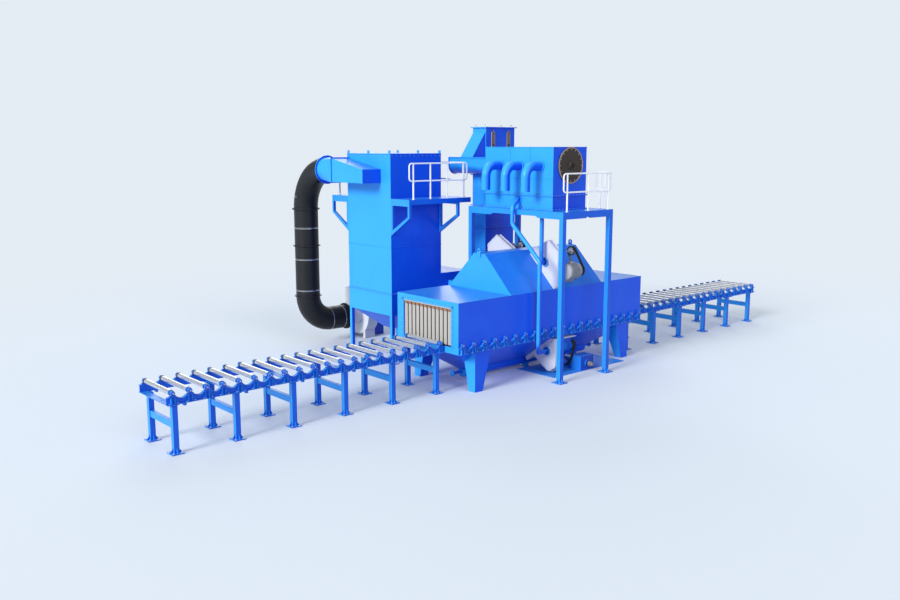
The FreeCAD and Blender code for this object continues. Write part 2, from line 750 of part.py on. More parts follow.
def wheel_housing(outline, place, inlet, spindle):
    """Tall casing on its base frame, the inlet ring on its face and the wheel's drum behind it."""
    face = -WHEEL_HALF
    back = face + WHEEL_CASING
    casing = slope_prism(outline, place, face, back)
    start = outline[0][0]
    end = outline[-1][0]
    foot = [(start, 0), (start, WHEEL_BASE), (end, WHEEL_BASE), (end, 0)]
    base = slope_prism(foot, place, face, WHEEL_HALF)
    drum = rod((back, *place(*spindle)), (back + WHEEL_DRUM, *place(*spindle)), WHEEL_DRUM_R)
    y, z = place(*inlet)
    ring = rod((face - INLET_RING, y, z), (face, y, z), INLET_RING_R)
    bore = rod((face - INLET_RING - 1, y, z), (face - INLET_RING + INLET_DEPTH, y, z), INLET_BORE_R)
    return fuse([casing, base, drum, ring]).cut(bore)


def belt_outline(x, wheel, motor, grow):
    """The solid outline round both pulleys, grown by a belt's thickness, across the shafts."""
    big = WHEEL_PULLEY_R + grow
    small = MOTOR_PULLEY_R + grow
    dy = motor[0] - wheel[0]
    dz = motor[1] - wheel[1]
    lean = math.acos((big - small) / math.hypot(dy, dz))
    base = math.atan2(dz, dy)
    corners = []
    turns = ((wheel, big, lean), (motor, small, lean), (motor, small, -lean), (wheel, big, -lean))
    for centre, radius, turn in turns:
        angle = base + turn
        corners.append((x, centre[0] + radius * math.cos(angle), centre[1] + radius * math.sin(angle)))
    end = x + BELT_WIDTH
    ends = [rod((x, *wheel), (end, *wheel), big), rod((x, *motor), (end, *motor), small)]
    return fuse(ends + [prism(corners, (BELT_WIDTH, 0, 0))])


def belt_drive(x, wheel, motor):
    """Both pulleys and the belt that runs round them as one loop."""
    belt = belt_outline(x, wheel, motor, BELT_THICK).cut(belt_outline(x, wheel, motor, 0))
    big = rod((x, *wheel), (x + BELT_WIDTH, *wheel), WHEEL_PULLEY_R)
    small = rod((x, *motor), (x + BELT_WIDTH, *motor), MOTOR_PULLEY_R)
    return fuse([belt, big, small])


def wheel_drive(wheel, motor, radius, motor_x, length, belt_x, seat):
    """Motor on its seat, the spindle unit behind the wheel's drum, both shafts and the belt drive."""
    y, z = motor
    back = -WHEEL_HALF + WHEEL_CASING + WHEEL_DRUM
    body = rod((motor_x, y, z), (motor_x + length, y, z), radius)
    shaft = rod((motor_x + length, y, z), (belt_x, y, z), SHAFT_RADIUS)
    unit = rod((back, *wheel), (SPINDLE_END, *wheel), SPINDLE_R)
    spindle = rod((SPINDLE_END, *wheel), (belt_x, *wheel), SHAFT_RADIUS)
    return fuse([seat, body, shaft, unit, spindle, belt_drive(belt_x, wheel, motor)])


def upper_drive():
    s, n = UPPER_MOTOR
    half = UPPER_MOTOR_R * MOTOR_SEAT
    seat = [(s - half, 0), (s - half, n), (s + half, n), (s + half, 0)]
    bracket = slope_prism(seat, upper_place, UPPER_MOTOR_X, UPPER_MOTOR_X + UPPER_MOTOR_LENGTH)
    return wheel_drive(upper_place(*UPPER_SPINDLE), upper_place(s, n), UPPER_MOTOR_R, UPPER_MOTOR_X,
                       UPPER_MOTOR_LENGTH, UPPER_BELT_X, bracket)


def hopper_y(z):
    """Where the hopper's near slope is at height z."""
    return -CHAMBER_Y + (RAIL_BOTTOM - z) * (CHAMBER_Y - HOPPER_BOTTOM) / (RAIL_BOTTOM - TROUGH_TOP)


def lower_roof():
    """The plate over the lower wheel and its motor, from the hopper's slope outwards."""
    top = lower_place(*LOWER_WHEEL_OUTLINE[0])[1]
    low = top - LOWER_ROOF_THICK
    y0 = lower_place(*LOWER_WHEEL_OUTLINE[1])[0]
    outline = [(y0, top), (hopper_y(top), top), (hopper_y(low), low), (y0, low)]
    return prism([(-WHEEL_HALF, y, z) for y, z in outline], (WHEEL_HALF + LOWER_ROOF_X1, 0, 0))


def lower_drive():
    y, z = lower_place(*LOWER_MOTOR)
    half = LOWER_MOTOR_R * MOTOR_SEAT
    top = lower_place(*LOWER_WHEEL_OUTLINE[0])[1] - LOWER_ROOF_THICK
    x1 = LOWER_MOTOR_X + LOWER_MOTOR_LENGTH
    hanger = box(LOWER_MOTOR_X, x1, y - half, y + half, z, top)
    return wheel_drive(lower_place(*LOWER_SPINDLE), (y, z), LOWER_MOTOR_R, LOWER_MOTOR_X,
                       LOWER_MOTOR_LENGTH, LOWER_BELT_X, hanger)


def wheels():
    upper = wheel_housing(UPPER_WHEEL_OUTLINE, upper_place, UPPER_INLET, UPPER_SPINDLE)
    save("upper_blast_wheels", [upper, mirror_y(upper)])
    drive = upper_drive()
    save("upper_wheel_drives", [drive, mirror_y(drive)])
    lower = wheel_housing(LOWER_WHEEL_OUTLINE, lower_place, LOWER_INLET, LOWER_SPINDLE)
    lower = fuse([lower, lower_roof()])
    save("lower_blast_wheels", [lower, mirror_y(lower)])
    drive = lower_drive()
    save("lower_wheel_drives", [drive, mirror_y(drive)])


def pipe(points, radius, bend):
    """A round pipe along straight runs joined by tangent arcs."""
    corners = [vec(*p) for p in points]
    edges = []
    last = corners[0]
    for a, b, c in zip(corners, corners[1:], corners[2:]):
        before = (a - b).normalize()
        after = (c - b).normalize()
        half_turn = (math.pi - before.getAngle(after)) / 2
        cut = bend * math.tan(half_turn)
        start = b + before * cut
        end = b + after * cut
        inward = (before + after).normalize()
        middle = b + inward * (bend / math.cos(half_turn) - bend)
        edges.append(Part.LineSegment(last, start).toShape())
        edges.append(Part.Arc(start, middle, end).toShape())
        last = end
    edges.append(Part.LineSegment(last, corners[-1]).toShape())
    path = Part.Wire(edges)
    circle = Part.Wire(Part.makeCircle(radius, corners[0], corners[1] - corners[0]))
    return path.makePipeShell([circle], True, False)


def feed_pipes():
    """The upper wheel's feed comes straight down; the lower one's passes outside the chamber."""
    uy, uz = upper_place(*UPPER_INLET)
    ly, lz = lower_place(*LOWER_INLET)
    x_in = -WHEEL_HALF - INLET_RING + INLET_DEPTH
    x_upper = -WHEEL_HALF - UPPER_FEED_OUT
    deck = DECK_Z - PLATFORM_PLATE
    upper = pipe([(x_upper, uy, deck), (x_upper, uy, uz), (x_in, uy, uz)], FEED_PIPE_R, UPPER_FEED_BEND)
    x_out = BIN_X0 - LOWER_FEED_OUT
    x_drop = -WHEEL_HALF - LOWER_FEED_DROP
    y_out = LOWER_FEED_Y - LOWER_FEED_SHIFT
    y_drop = ly - LOWER_FEED_SIDE
    lower = pipe([
        (BIN_X0 + LOWER_FEED_SINK, LOWER_FEED_Y, BIN_TOP - LOWER_FEED_BELOW),
        (x_out, y_out, DECK_Z + LOWER_FEED_RISE),
        (x_out, y_out, DECK_Z - LOWER_FEED_PASS),
        (x_out, y_drop, DECK_Z - UPPER_ELBOW_DROP),
        (x_out, y_drop, lz + LOWER_ELBOW_RISE),
        (x_drop, ly, lz),
        (x_in, ly, lz)], FEED_PIPE_R, LOWER_FEED_BEND)
    return [upper, lower.cut(separator_body())]


def separator_body():
    """Storage bin between its two flanges, and the drum's casing above it."""
    out = BIN_FLANGE
    thick = BIN_FLANGE_THICK
    pieces = [box(BIN_X0, BIN_X1, BIN_Y0, BIN_Y1, DECK_Z, DRUM_TOP)]
    for z in (DECK_Z, BIN_TOP - thick):
        pieces.append(box(BIN_X0 - out, BIN_X1 + out, BIN_Y0 - out, BIN_Y1 + out, z, z + thick))
    return fuse(pieces)


def separator():
    save("separator_housing", [separator_body()])
    y = BIN_Y0
    disc = rod((DRUM_END_X, y - DRUM_END_THICK, DRUM_END_Z), (DRUM_END_X, y, DRUM_END_Z), DRUM_END_R)
    hub_y = y - DRUM_END_THICK - DRUM_HUB
    hub = rod((DRUM_END_X, hub_y, DRUM_END_Z), (DRUM_END_X, y, DRUM_END_Z), DRUM_HUB_R)
    save("separator_drum_end", [fuse([disc, hub])])
    vents = []
    for i in (-1, 0, 1):
        vy = VENT_MIDDLE_Y + i * VENT_PITCH
        route = [(BIN_X0, vy, VENT_Z), (BIN_X0 - VENT_OUT, vy, VENT_Z), (BIN_X0 - VENT_OUT, vy, VENT_BOTTOM)]
        neck = rod((BIN_X0 - VENT_COLLAR, vy, VENT_Z), (BIN_X0, vy, VENT_Z), VENT_COLLAR_R)
        vents.append(fuse([pipe(route, VENT_R, VENT_BEND), neck]))
    save("separator_vents", vents)
    save("feed_pipes", feed_pipes())


def column_haunches(x, y, top):
    """Tapered plates under the beams, from the column at x, y towards the platform's middle."""
    low = top - COLUMN_HAUNCH_THICK
    long_way = COLUMN + COLUMN_HAUNCH
    short_way = long_way - COLUMN_HAUNCH_TAPER
    right = 1 if x < (PLATFORM_X0 + PLATFORM_X1) / 2 else -1
    inward = 1 if y < (PLATFORM_Y0 + PLATFORM_Y1) / 2 else -1
    x_edge = x if right > 0 else x + COLUMN
    y_edge = y if inward > 0 else y + COLUMN
    along_x = [(x_edge, y_edge, top), (x_edge + right * long_way, y_edge, top),
               (x_edge + right * short_way, y_edge, low), (x_edge, y_edge, low)]
    along_y = [(x_edge, y_edge, top), (x_edge, y_edge + inward * long_way, top),
               (x_edge, y_edge + inward * short_way, low), (x_edge, y_edge, low)]
    return [prism(along_x, (0, inward * PLATFORM_BEAM_W, 0)),
            prism(along_y, (right * PLATFORM_BEAM_W, 0, 0))]


def platform():
    z0 = DECK_Z - PLATFORM_BEAM
    z1 = DECK_Z - PLATFORM_PLATE
    outer = box(PLATFORM_X0, PLATFORM_X1, PLATFORM_Y0, PLATFORM_Y1, z0, z1)
    w = PLATFORM_BEAM_W
    middle = (PLATFORM_Y0 + PLATFORM_Y1) / 2
    low = box(PLATFORM_X0 + w, PLATFORM_X1 - w, PLATFORM_Y0 + w, middle - w / 2, z0 - 1, z1 + 1)
    high = box(PLATFORM_X0 + w, PLATFORM_X1 - w, middle + w / 2, PLATFORM_Y1 - w, z0 - 1, z1 + 1)
    frame = outer.cut(low).cut(high)
    deck = box(PLATFORM_X0, PLATFORM_X1, PLATFORM_Y0, PLATFORM_Y1, z1, DECK_Z)
    save("separator_platform", [fuse([frame, deck])])
    columns = []
    for x in (PLATFORM_X0, PLATFORM_X1 - COLUMN):
        for y in (PLATFORM_Y0, PLATFORM_Y1 - COLUMN):
            post = box(x, x + COLUMN, y, y + COLUMN, FOOT_THICK, z0)
            cx = x + COLUMN / 2
            cy = y + COLUMN / 2
            plate = foot_plate(cx, cy, COLUMN_FOOT, FOOT_THICK)
            pieces = [post, plate] + gussets(cx, cy, COLUMN / 2, FOOT_THICK) + column_haunches(x, y, z0)
            columns.append(fuse(pieces))
    save("separator_columns", columns)


def rounded_loop(a, b, z0, z1):
    """A handrail loop in the vertical plane through a and b, as two halves with rounded corners."""
    ax, ay = a
    bx, by = b

    def at(share, z):
        return (ax + (bx - ax) * share, ay + (by - ay) * share, z)

    halves = []
    for end in (0, 1):
        halves.append(pipe([at(0.5, z1), at(end, z1), at(end, z0), at(0.5, z0)], RAIL_TUBE_R, RAIL_BEND))
    return halves


def rail_run(a, b, floor, posts):
    """A loop on posts between two plan points; the posts stand on the deck at floor."""
    ax, ay = a
    bx, by = b
    pieces = rounded_loop(a, b, floor + RAIL_MIDDLE, floor + RAIL_HEIGHT)
    length = math.hypot(bx - ax, by - ay)
    for i in range(posts):
        s = (RAIL_OVERHANG + i * (length - 2 * RAIL_OVERHANG) / (posts - 1)) / length
        x = ax + (bx - ax) * s
        y = ay + (by - ay) * s
        pieces.append(rod((x, y, floor), (x, y, floor + RAIL_HEIGHT), RAIL_POST_R))
        pieces.append(rod((x, y, floor), (x, y, floor + RAIL_FLANGE_THICK), RAIL_FLANGE_R))
    return fuse(pieces)


def separator_rails():
    e = RAIL_EDGE
    near_y = PLATFORM_Y0 + e
    near = rail_run((PLATFORM_X0 + e, near_y), (PLATFORM_X1 - e, near_y), DECK_Z, 3)
    side_x = PLATFORM_X1 - e
    side = rail_run((side_x, PLATFORM_Y0 + 3 * e), (side_x, BIN_Y0 - e), DECK_Z, 2)
    save("separator_handrail", [near, side])


def elevator():
    casing = box(ELEVATOR_X0, ELEVATOR_X1, ELEVATOR_Y0, ELEVATOR_Y1, 0, ELEVATOR_HEAD_Z)
    f = ELEVATOR_FLANGE
    t = ELEVATOR_FLANGE_THICK
    pieces = [casing]
    for i in range(ELEVATOR_JOINTS):
        z = ELEVATOR_JOINT_Z + i * ELEVATOR_JOINT
        pieces.append(box(ELEVATOR_X0 - f, ELEVATOR_X1 + f, ELEVATOR_Y0 - f, ELEVATOR_Y1 + f, z, z + t))
    pieces.append(box(ELEVATOR_X0 - f, ELEVATOR_X1 + f, ELEVATOR_Y0 - f, ELEVATOR_Y1 + f, 0, t))
    pieces.append(box(ELEVATOR_X0 - f, ELEVATOR_X1 + f, ELEVATOR_Y0 - f, ELEVATOR_Y1 + f,
                      ELEVATOR_HEAD_Z - t, ELEVATOR_HEAD_Z))
    save("elevator_casing", [fuse(pieces)])
    head = box(ELEVATOR_X0, ELEVATOR_X1, ELEVATOR_Y0, ELEVATOR_Y1, ELEVATOR_HEAD_Z, ELEVATOR_TOP - t)
    cover = box(ELEVATOR_X0 - f, ELEVATOR_X1 + f, ELEVATOR_Y0 - f, ELEVATOR_Y1 + f,
                ELEVATOR_TOP - t, ELEVATOR_TOP)
    y0 = ELEVATOR_Y0 + CHUTE_INSET
    outline = [
        (ELEVATOR_X0, y0, CHUTE_TOP),
        (ELEVATOR_X0 - CHUTE_OUT, y0, CARRY_TOP),
        (ELEVATOR_X0, y0, CARRY_TOP),
    ]
    depth = ELEVATOR_Y1 - ELEVATOR_Y0 - 2 * CHUTE_INSET
    chute = prism(outline, (0, depth, 0))
    save("elevator_head", [fuse([head, cover, chute])])
    radius = (CARRY_X1 - CARRY_X0) / 2
    centre = (CARRY_X0 + CARRY_X1) / 2
    axis_z = CARRY_TOP - CARRY_FLANGE - radius
    upper = box(CARRY_X0, CARRY_X1, BIN_Y1, CARRY_END, axis_z, CARRY_TOP - CARRY_FLANGE)
    under = rod((centre, BIN_Y1, axis_z), (centre, CARRY_END, axis_z), radius)
    lip = box(CARRY_X0 - CARRY_LIP, CARRY_X1 + CARRY_LIP, BIN_Y1, CARRY_END,
              CARRY_TOP - CARRY_FLANGE, CARRY_TOP)
    end_box = box(CARRY_X0 - CARRY_LIP, CARRY_X1 + CARRY_LIP, CARRY_END, CARRY_END + CARRY_FLANGE,
                  axis_z, CARRY_TOP)
    end_disc = rod((centre, CARRY_END, axis_z), (centre, CARRY_END + CARRY_FLANGE, axis_z),
                   radius + CARRY_FLANGE)
    save("transfer_trough", [fuse([upper, under, lip, end_box, end_disc])])


def collector():
    body = box(COLLECTOR_X0, COLLECTOR_X1, COLLECTOR_Y0, COLLECTOR_Y1, COLLECTOR_JOINT, COLLECTOR_TOP)
    f = COLLECTOR_FLANGE
    joint = box(COLLECTOR_X0 - f, COLLECTOR_X1 + f, COLLECTOR_Y0 - f, COLLECTOR_Y1 + f,
                COLLECTOR_JOINT, COLLECTOR_JOINT + COLLECTOR_JOINT_THICK)
    pieces = [body, joint]
    thick = COLLECTOR_LUG_THICK
    half = COLLECTOR_LUG_HALF
    inset = COLLECTOR_LUG_INSET
    low = COLLECTOR_TOP - COLLECTOR_LUG_DROP
    high = COLLECTOR_TOP + COLLECTOR_LUG_RISE
    for x in (COLLECTOR_X0, COLLECTOR_X1 - thick):
        for y in (COLLECTOR_Y0 + inset, (COLLECTOR_Y0 + COLLECTOR_Y1) / 2, COLLECTOR_Y1 - inset):
            pieces.append(box(x, x + thick, y - half, y + half, low, high))
    save("collector_body", [fuse(pieces)])
    i = SKIRT_INSET
    skirt = box(COLLECTOR_X0, COLLECTOR_X1, COLLECTOR_Y0, COLLECTOR_Y1, COLLECTOR_SKIRT, COLLECTOR_JOINT)
    cx = (COLLECTOR_X0 + COLLECTOR_X1) / 2
    cy = (COLLECTOR_Y0 + COLLECTOR_Y1) / 2
    half = DISCHARGE_SIDE / 2
    top = [(COLLECTOR_X0 + i, COLLECTOR_Y0 + i), (COLLECTOR_X1 - i, COLLECTOR_Y0 + i),
           (COLLECTOR_X1 - i, COLLECTOR_Y1 - i), (COLLECTOR_X0 + i, COLLECTOR_Y1 - i)]
    low = [(cx - half, cy - half), (cx + half, cy - half), (cx + half, cy + half), (cx - half, cy + half)]
    upper = Part.makePolygon([vec(x, y, COLLECTOR_SKIRT) for x, y in top + top[:1]])
    lower = Part.makePolygon([vec(x, y, DISCHARGE_Z) for x, y in low + low[:1]])
    funnel = Part.makeLoft([lower, upper], True, True)
    legs = []
    s = COLLECTOR_LEG
    for x in (COLLECTOR_X0, COLLECTOR_X1 - s):
        for y in (COLLECTOR_Y0, COLLECTOR_Y1 - s):
            post = box(x, x + s, y, y + s, FOOT_THICK, COLLECTOR_SKIRT)
            plate = foot_plate(x + s / 2, y + s / 2, FOOT_PLATE, FOOT_THICK)
            legs.append(fuse([post, plate]))
    stand = Part.makeCompound([box(x, x + s, y, y + s, 0, COLLECTOR_SKIRT)
                               for x in (COLLECTOR_X0, COLLECTOR_X1 - s)
                               for y in (COLLECTOR_Y0, COLLECTOR_Y1 - s)])
    save("collector_hopper", [fuse([skirt, funnel.cut(stand)])])
    save("collector_legs", legs)


def brace(x, thick):
    """Bracket under the walkway, in the plane across the collector's far face."""
    y0 = COLLECTOR_Y1
    y1 = COLLECTOR_Y1 + WALK_DEPTH
    top = WALK_Z - WALK_BEAM
    low = top - BRACE_DROP
    foot = low - BRACE_RISE
    outline = [(x, y0, top), (x, y1, top), (x, y1, low), (x, y0, foot)]
    inner = [
        (x - 1, y0 + BRACE, top - BRACE * 0.6),
        (x - 1, y1 - BRACE, top - BRACE * 0.6),
        (x - 1, y1 - BRACE, low + BRACE * 0.5),
        (x - 1, y0 + BRACE, foot + BRACE * 2.2),
    ]
    return prism(outline, (thick, 0, 0)).cut(prism(inner, (thick + 2, 0, 0)))


def walkway():
    z0 = WALK_Z - WALK_BEAM
    x1 = COLLECTOR_X1 + WALK_SIDE
    y0 = COLLECTOR_Y0 - WALK_DEPTH
    y1 = COLLECTOR_Y1 + WALK_DEPTH
    whole = box(COLLECTOR_X0, x1, y0, y1, z0, WALK_Z)
    core = box(COLLECTOR_X0 - 1, COLLECTOR_X1, COLLECTOR_Y0, COLLECTOR_Y1, z0 - 1, WALK_Z + 1)
    deck = whole.cut(core)
    mid = (COLLECTOR_Y0 + COLLECTOR_Y1) / 2
    pieces = [deck]
    for x in (COLLECTOR_X0, COLLECTOR_X1 - BRACE):
        far = brace(x, BRACE)
        near = far.mirror(vec(0, mid, 0), vec(0, 1, 0))
        pieces += [far, near]
    save("collector_walkway", [fuse(pieces)])
    e = RAIL_EDGE
    near_y = y0 + e
    far_y = y1 - e
    side_x = x1 - e
    near = rail_run((COLLECTOR_X0 + e, near_y), (side_x - 2 * e, near_y), WALK_Z, 4)
    duct_side = DUCT_X + DUCT_R + RAIL_TUBE_R + e
    far = rail_run((duct_side, far_y), (side_x - 2 * e, far_y), WALK_Z, 4)
    side = rail_run((side_x, near_y + 2 * e), (side_x, far_y - 2 * e), WALK_Z, 4)
    save("collector_handrails", [near, far, side])


def round_wire(turns, y):
    """The duct's circle at y, in four arcs that start at the given angles."""

    def at(angle):
        return vec(DUCT_X + DUCT_R * math.cos(angle), y, DUCT_TOP_Z + DUCT_R * math.sin(angle))

    arcs = []
    for start, end in zip(turns, turns[1:] + [turns[0] + 2 * math.pi]):
        end = end if end > start else end + 2 * math.pi
        arcs.append(Part.Arc(at(start), at((start + end) / 2), at(end)).toShape())
    return Part.Wire(arcs)


def inlet_box():
    x0 = COLLECTOR_X0 - INLET_OUT
    x1 = COLLECTOR_X0
    near = [vec(x, INLET_Y0, z) for x, z in ((x0, INLET_Z0), (x1, INLET_Z0),
                                             (x1, INLET_TOP_NEAR), (x0, INLET_TOP_NEAR))]
    far = [vec(x, INLET_Y1, z) for x, z in ((x0, INLET_Z0), (x1, INLET_Z0),
                                            (x1, INLET_TOP_FAR), (x0, INLET_TOP_FAR))]
    body = Part.makeLoft([Part.makePolygon(near + near[:1]), Part.makePolygon(far + far[:1])], True, True)
    f = DUCT_RING
    lip = INLET_LIP
    flange = box(x0 - lip, x1, INLET_Y1, INLET_Y1 + f, INLET_Z0 - lip, INLET_TOP_FAR + lip)
    y2 = DUCT_TOP_Y - f
    square = [vec(v.x, INLET_Y1 + f, v.z) for v in far]
    turns = [math.atan2(v.z - DUCT_TOP_Z, v.x - DUCT_X) for v in square]
    spout = Part.makeLoft([Part.makePolygon(square + square[:1]), round_wire(turns, y2)], True, True)
    ring = rod((DUCT_X, y2, DUCT_TOP_Z), (DUCT_X, DUCT_TOP_Y, DUCT_TOP_Z), DUCT_RING_R)
    save("collector_inlet", [fuse([body, flange, spout, ring])])


def torus_bend(centre, axis, start, radius, degrees):
    circle = Part.makeCircle(DUCT_R, vec(*start), vec(*axis).cross(vec(*start) - vec(*centre)))
    face = Part.Face(Part.Wire(circle))
    return face.revolve(vec(*centre), vec(*axis), degrees)


def duct():
    f = DUCT_RING
    low_centre = (DUCT_X + DUCT_LOW_BEND, DUCT_Y, DUCT_LOW_Z + DUCT_LOW_BEND)
    top_centre = (DUCT_X, DUCT_TOP_Y, DUCT_TOP_Z - DUCT_TOP_BEND)
    top = torus_bend(top_centre, (1, 0, 0), (DUCT_X, DUCT_Y, top_centre[2]), DUCT_TOP_BEND, 90)
    top_ring = rod((DUCT_X, DUCT_Y, top_centre[2]), (DUCT_X, DUCT_Y, top_centre[2] + f), DUCT_RING_R)
    riser = rod((DUCT_X, DUCT_Y, low_centre[2]), (DUCT_X, DUCT_Y, top_centre[2]), DUCT_R)
    rings = []
    for z in (low_centre[2], low_centre[2] + DUCT_RISER_JOINT, top_centre[2] - f):
        rings.append(rod((DUCT_X, DUCT_Y, z), (DUCT_X, DUCT_Y, z + f), DUCT_RING_R))
    low = torus_bend(low_centre, (0, 1, 0), (DUCT_X, DUCT_Y, low_centre[2]), DUCT_LOW_BEND, -90)
    run = rod((low_centre[0], DUCT_Y, DUCT_LOW_Z), (FAN_INLET_X, DUCT_Y, DUCT_LOW_Z), DUCT_R)
    ring = rod((FAN_INLET_X - f, DUCT_Y, DUCT_LOW_Z), (FAN_INLET_X, DUCT_Y, DUCT_LOW_Z), DUCT_RING_R)
    save("exhaust_duct", [fuse([riser, top, top_ring, low, run, ring] + rings)])


def fan():
    z = DUCT_LOW_Z
    x1 = FAN_X0 + FAN_WIDTH
    scroll = rod((FAN_X0, DUCT_Y, z), (x1, DUCT_Y, z), FAN_R)
    outlet = box(FAN_X0, x1, DUCT_Y + FAN_R - FAN_OUTLET, DUCT_Y + FAN_R, z, FAN_OUTLET_TOP)
    flange = box(FAN_X0 - 30, x1 + 30, DUCT_Y + FAN_R - FAN_OUTLET - 30, DUCT_Y + FAN_R + 30,
                 FAN_OUTLET_TOP - 20, FAN_OUTLET_TOP)
    feet = []
    for side in (-1, 1):
        y = DUCT_Y + side * FAN_R * 0.6
        feet.append(box(FAN_X0, x1, y - FAN_STAND / 2, y + FAN_STAND / 2, 0, z - FAN_R * 0.5))
    start = vec(FAN_INLET_X, DUCT_Y, z)
    cone = Part.makeCone(DUCT_R, FAN_INLET_R, FAN_X0 - FAN_INLET_X, start, vec(1, 0, 0))
    rim = rod((FAN_INLET_X, DUCT_Y, z), (FAN_INLET_X + DUCT_RING, DUCT_Y, z), DUCT_RING_R)
    save("exhaust_fan", [fuse([scroll, outlet, flange, cone, rim] + feet)])
    gap = 120
    shaft = rod((x1, DUCT_Y, z), (x1 + gap, DUCT_Y, z), SHAFT_RADIUS + 10)
    motor = rod((x1 + gap, DUCT_Y, z), (x1 + gap + FAN_MOTOR_LENGTH, DUCT_Y, z), FAN_MOTOR_R)
    stand = box(x1 + gap, x1 + gap + FAN_MOTOR_LENGTH, DUCT_Y - FAN_MOTOR_R, DUCT_Y + FAN_MOTOR_R,
                0, z - FAN_MOTOR_R * 0.6)
    save("fan_motor", [fuse([shaft, motor, stand])])


def dust_box():
    """The box on the collector's side, clear of its joint flange, and the neck to the chamber's wall."""
    x0 = COLLECTOR_X1
    y1 = COLLECTOR_Y0 + DUST_BOX_DEPTH
    body = box(x0, x0 + DUST_BOX_WIDTH, COLLECTOR_Y0, y1, DUST_BOX_BOTTOM, DUST_BOX_TOP)
    flange = COLLECTOR_FLANGE
    joint = box(x0 - 1, x0 + flange, COLLECTOR_Y0 - flange, COLLECTOR_Y1, COLLECTOR_JOINT,
                COLLECTOR_JOINT + COLLECTOR_JOINT_THICK)
    neck_x = PLATFORM_X0 + COLUMN + DUST_NECK_GAP
    neck = box(neck_x, neck_x + DUST_NECK_WIDTH, CHAMBER_Y, COLLECTOR_Y0, DUST_NECK_BOTTOM, DUST_NECK_TOP)
    save("dust_box", [fuse([body, neck]).cut(joint)])


def pit_cover():
    cover = box(COVER_X0, COVER_X1, COVER_Y0, -SADDLE_FOOT_Y / 2, 0, COVER_THICK)
    save("pit_cover", [cover])
    z0 = COVER_THICK
    housing = box(DRIVE_X0, DRIVE_X1, DRIVE_Y0, DRIVE_Y1, z0, z0 + DRIVE_HEIGHT)
    cx = (DRIVE_X0 + DRIVE_X1) / 2
    cz = z0 + DRIVE_HEIGHT * 0.45
    flange = rod((cx, DRIVE_Y0 - 40, cz), (cx, DRIVE_Y0, cz), DRIVE_FLANGE_R)
    shaft = rod((cx, DRIVE_Y0 - DRIVE_SHAFT, cz), (cx, DRIVE_Y0, cz), DRIVE_SHAFT_R)
    save("screw_drive", [fuse([housing, flange, shaft])])


conveyor()
chamber()
hood()
lower_parts()
wheels()
separator()
platform()
separator_rails()
elevator()
collector()
walkway()
inlet_box()
duct()
fan()
dust_box()
pit_cover()
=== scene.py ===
import math

import bmesh
import bpy
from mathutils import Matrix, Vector


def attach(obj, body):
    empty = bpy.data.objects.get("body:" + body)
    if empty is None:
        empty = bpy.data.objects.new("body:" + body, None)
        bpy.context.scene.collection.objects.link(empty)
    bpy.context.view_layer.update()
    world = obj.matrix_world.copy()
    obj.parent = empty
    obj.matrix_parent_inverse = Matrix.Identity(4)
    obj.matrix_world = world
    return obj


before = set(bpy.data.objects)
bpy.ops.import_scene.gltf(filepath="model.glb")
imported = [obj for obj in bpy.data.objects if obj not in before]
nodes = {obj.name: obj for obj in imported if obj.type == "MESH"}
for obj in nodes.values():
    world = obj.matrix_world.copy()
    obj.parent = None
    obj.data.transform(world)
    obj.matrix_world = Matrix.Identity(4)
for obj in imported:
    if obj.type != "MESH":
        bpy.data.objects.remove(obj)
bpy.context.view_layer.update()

# Colours as linear values
SHEET_BLUE = (0.003, 0.075, 0.700)
# Paler copy of the sheet blue for faces turned towards the key light: painted light.
PAINTED_LIT_BLUE = (0.035, 0.400, 0.960)
SECTION_BLUE = (0.004, 0.095, 0.640)
# Paler copy of the section blue for faces turned towards the key light: painted light.
PAINTED_LIT_SECTION = (0.030, 0.330, 0.900)
DEEP_BLUE = (0.004, 0.060, 0.500)
# Paler copy of the deep blue for faces turned towards the key light: painted light.
PAINTED_LIT_DEEP = (0.020, 0.220, 0.780)
CHIPPED_BLUE = (0.080, 0.380, 0.940)
# Direction of the faces that are painted lighter, towards the key light: painted light.
PAINTED_LIGHT_SIDE = (-0.93, 0.05, 0.56)
BACKGROUND = (0.775, 0.838, 0.905)
DUST = (0.42, 0.47, 0.53)

CAMERA_PLACE = (-19.632, -18.862, 6.616)
CAMERA_TURN = (80.404, 0.0, -41.294)
CAMERA_LENS = 36.316


def add_node(tree, kind, **values):
    """Adds a shader node; each value sets the input of that name, or the node's own setting."""
    node = tree.nodes.new(kind)
    for name, value in values.items():
        socket = name.replace("_", " ")
        if socket in node.inputs:
            node.inputs[socket].default_value = value
        else:
            setattr(node, name, value)
    return node


def join(tree, source, output, target, socket):
    tree.links.new(source.outputs[output], target.inputs[socket])


def new_group(name, inputs, outputs):
    """A shader node group with its sockets; inputs and outputs are (name, type, default)."""
    group = bpy.data.node_groups.new(name, "ShaderNodeTree")
    for socket, kind, value in inputs:
        made = group.interface.new_socket(socket, in_out="INPUT", socket_type="NodeSocket" + kind)
        if value is not None:
            made.default_value = value
    for socket, kind in outputs:
        group.interface.new_socket(socket, in_out="OUTPUT", socket_type="NodeSocket" + kind)
    return group, group.nodes.new("NodeGroupInput"), group.nodes.new("NodeGroupOutput")


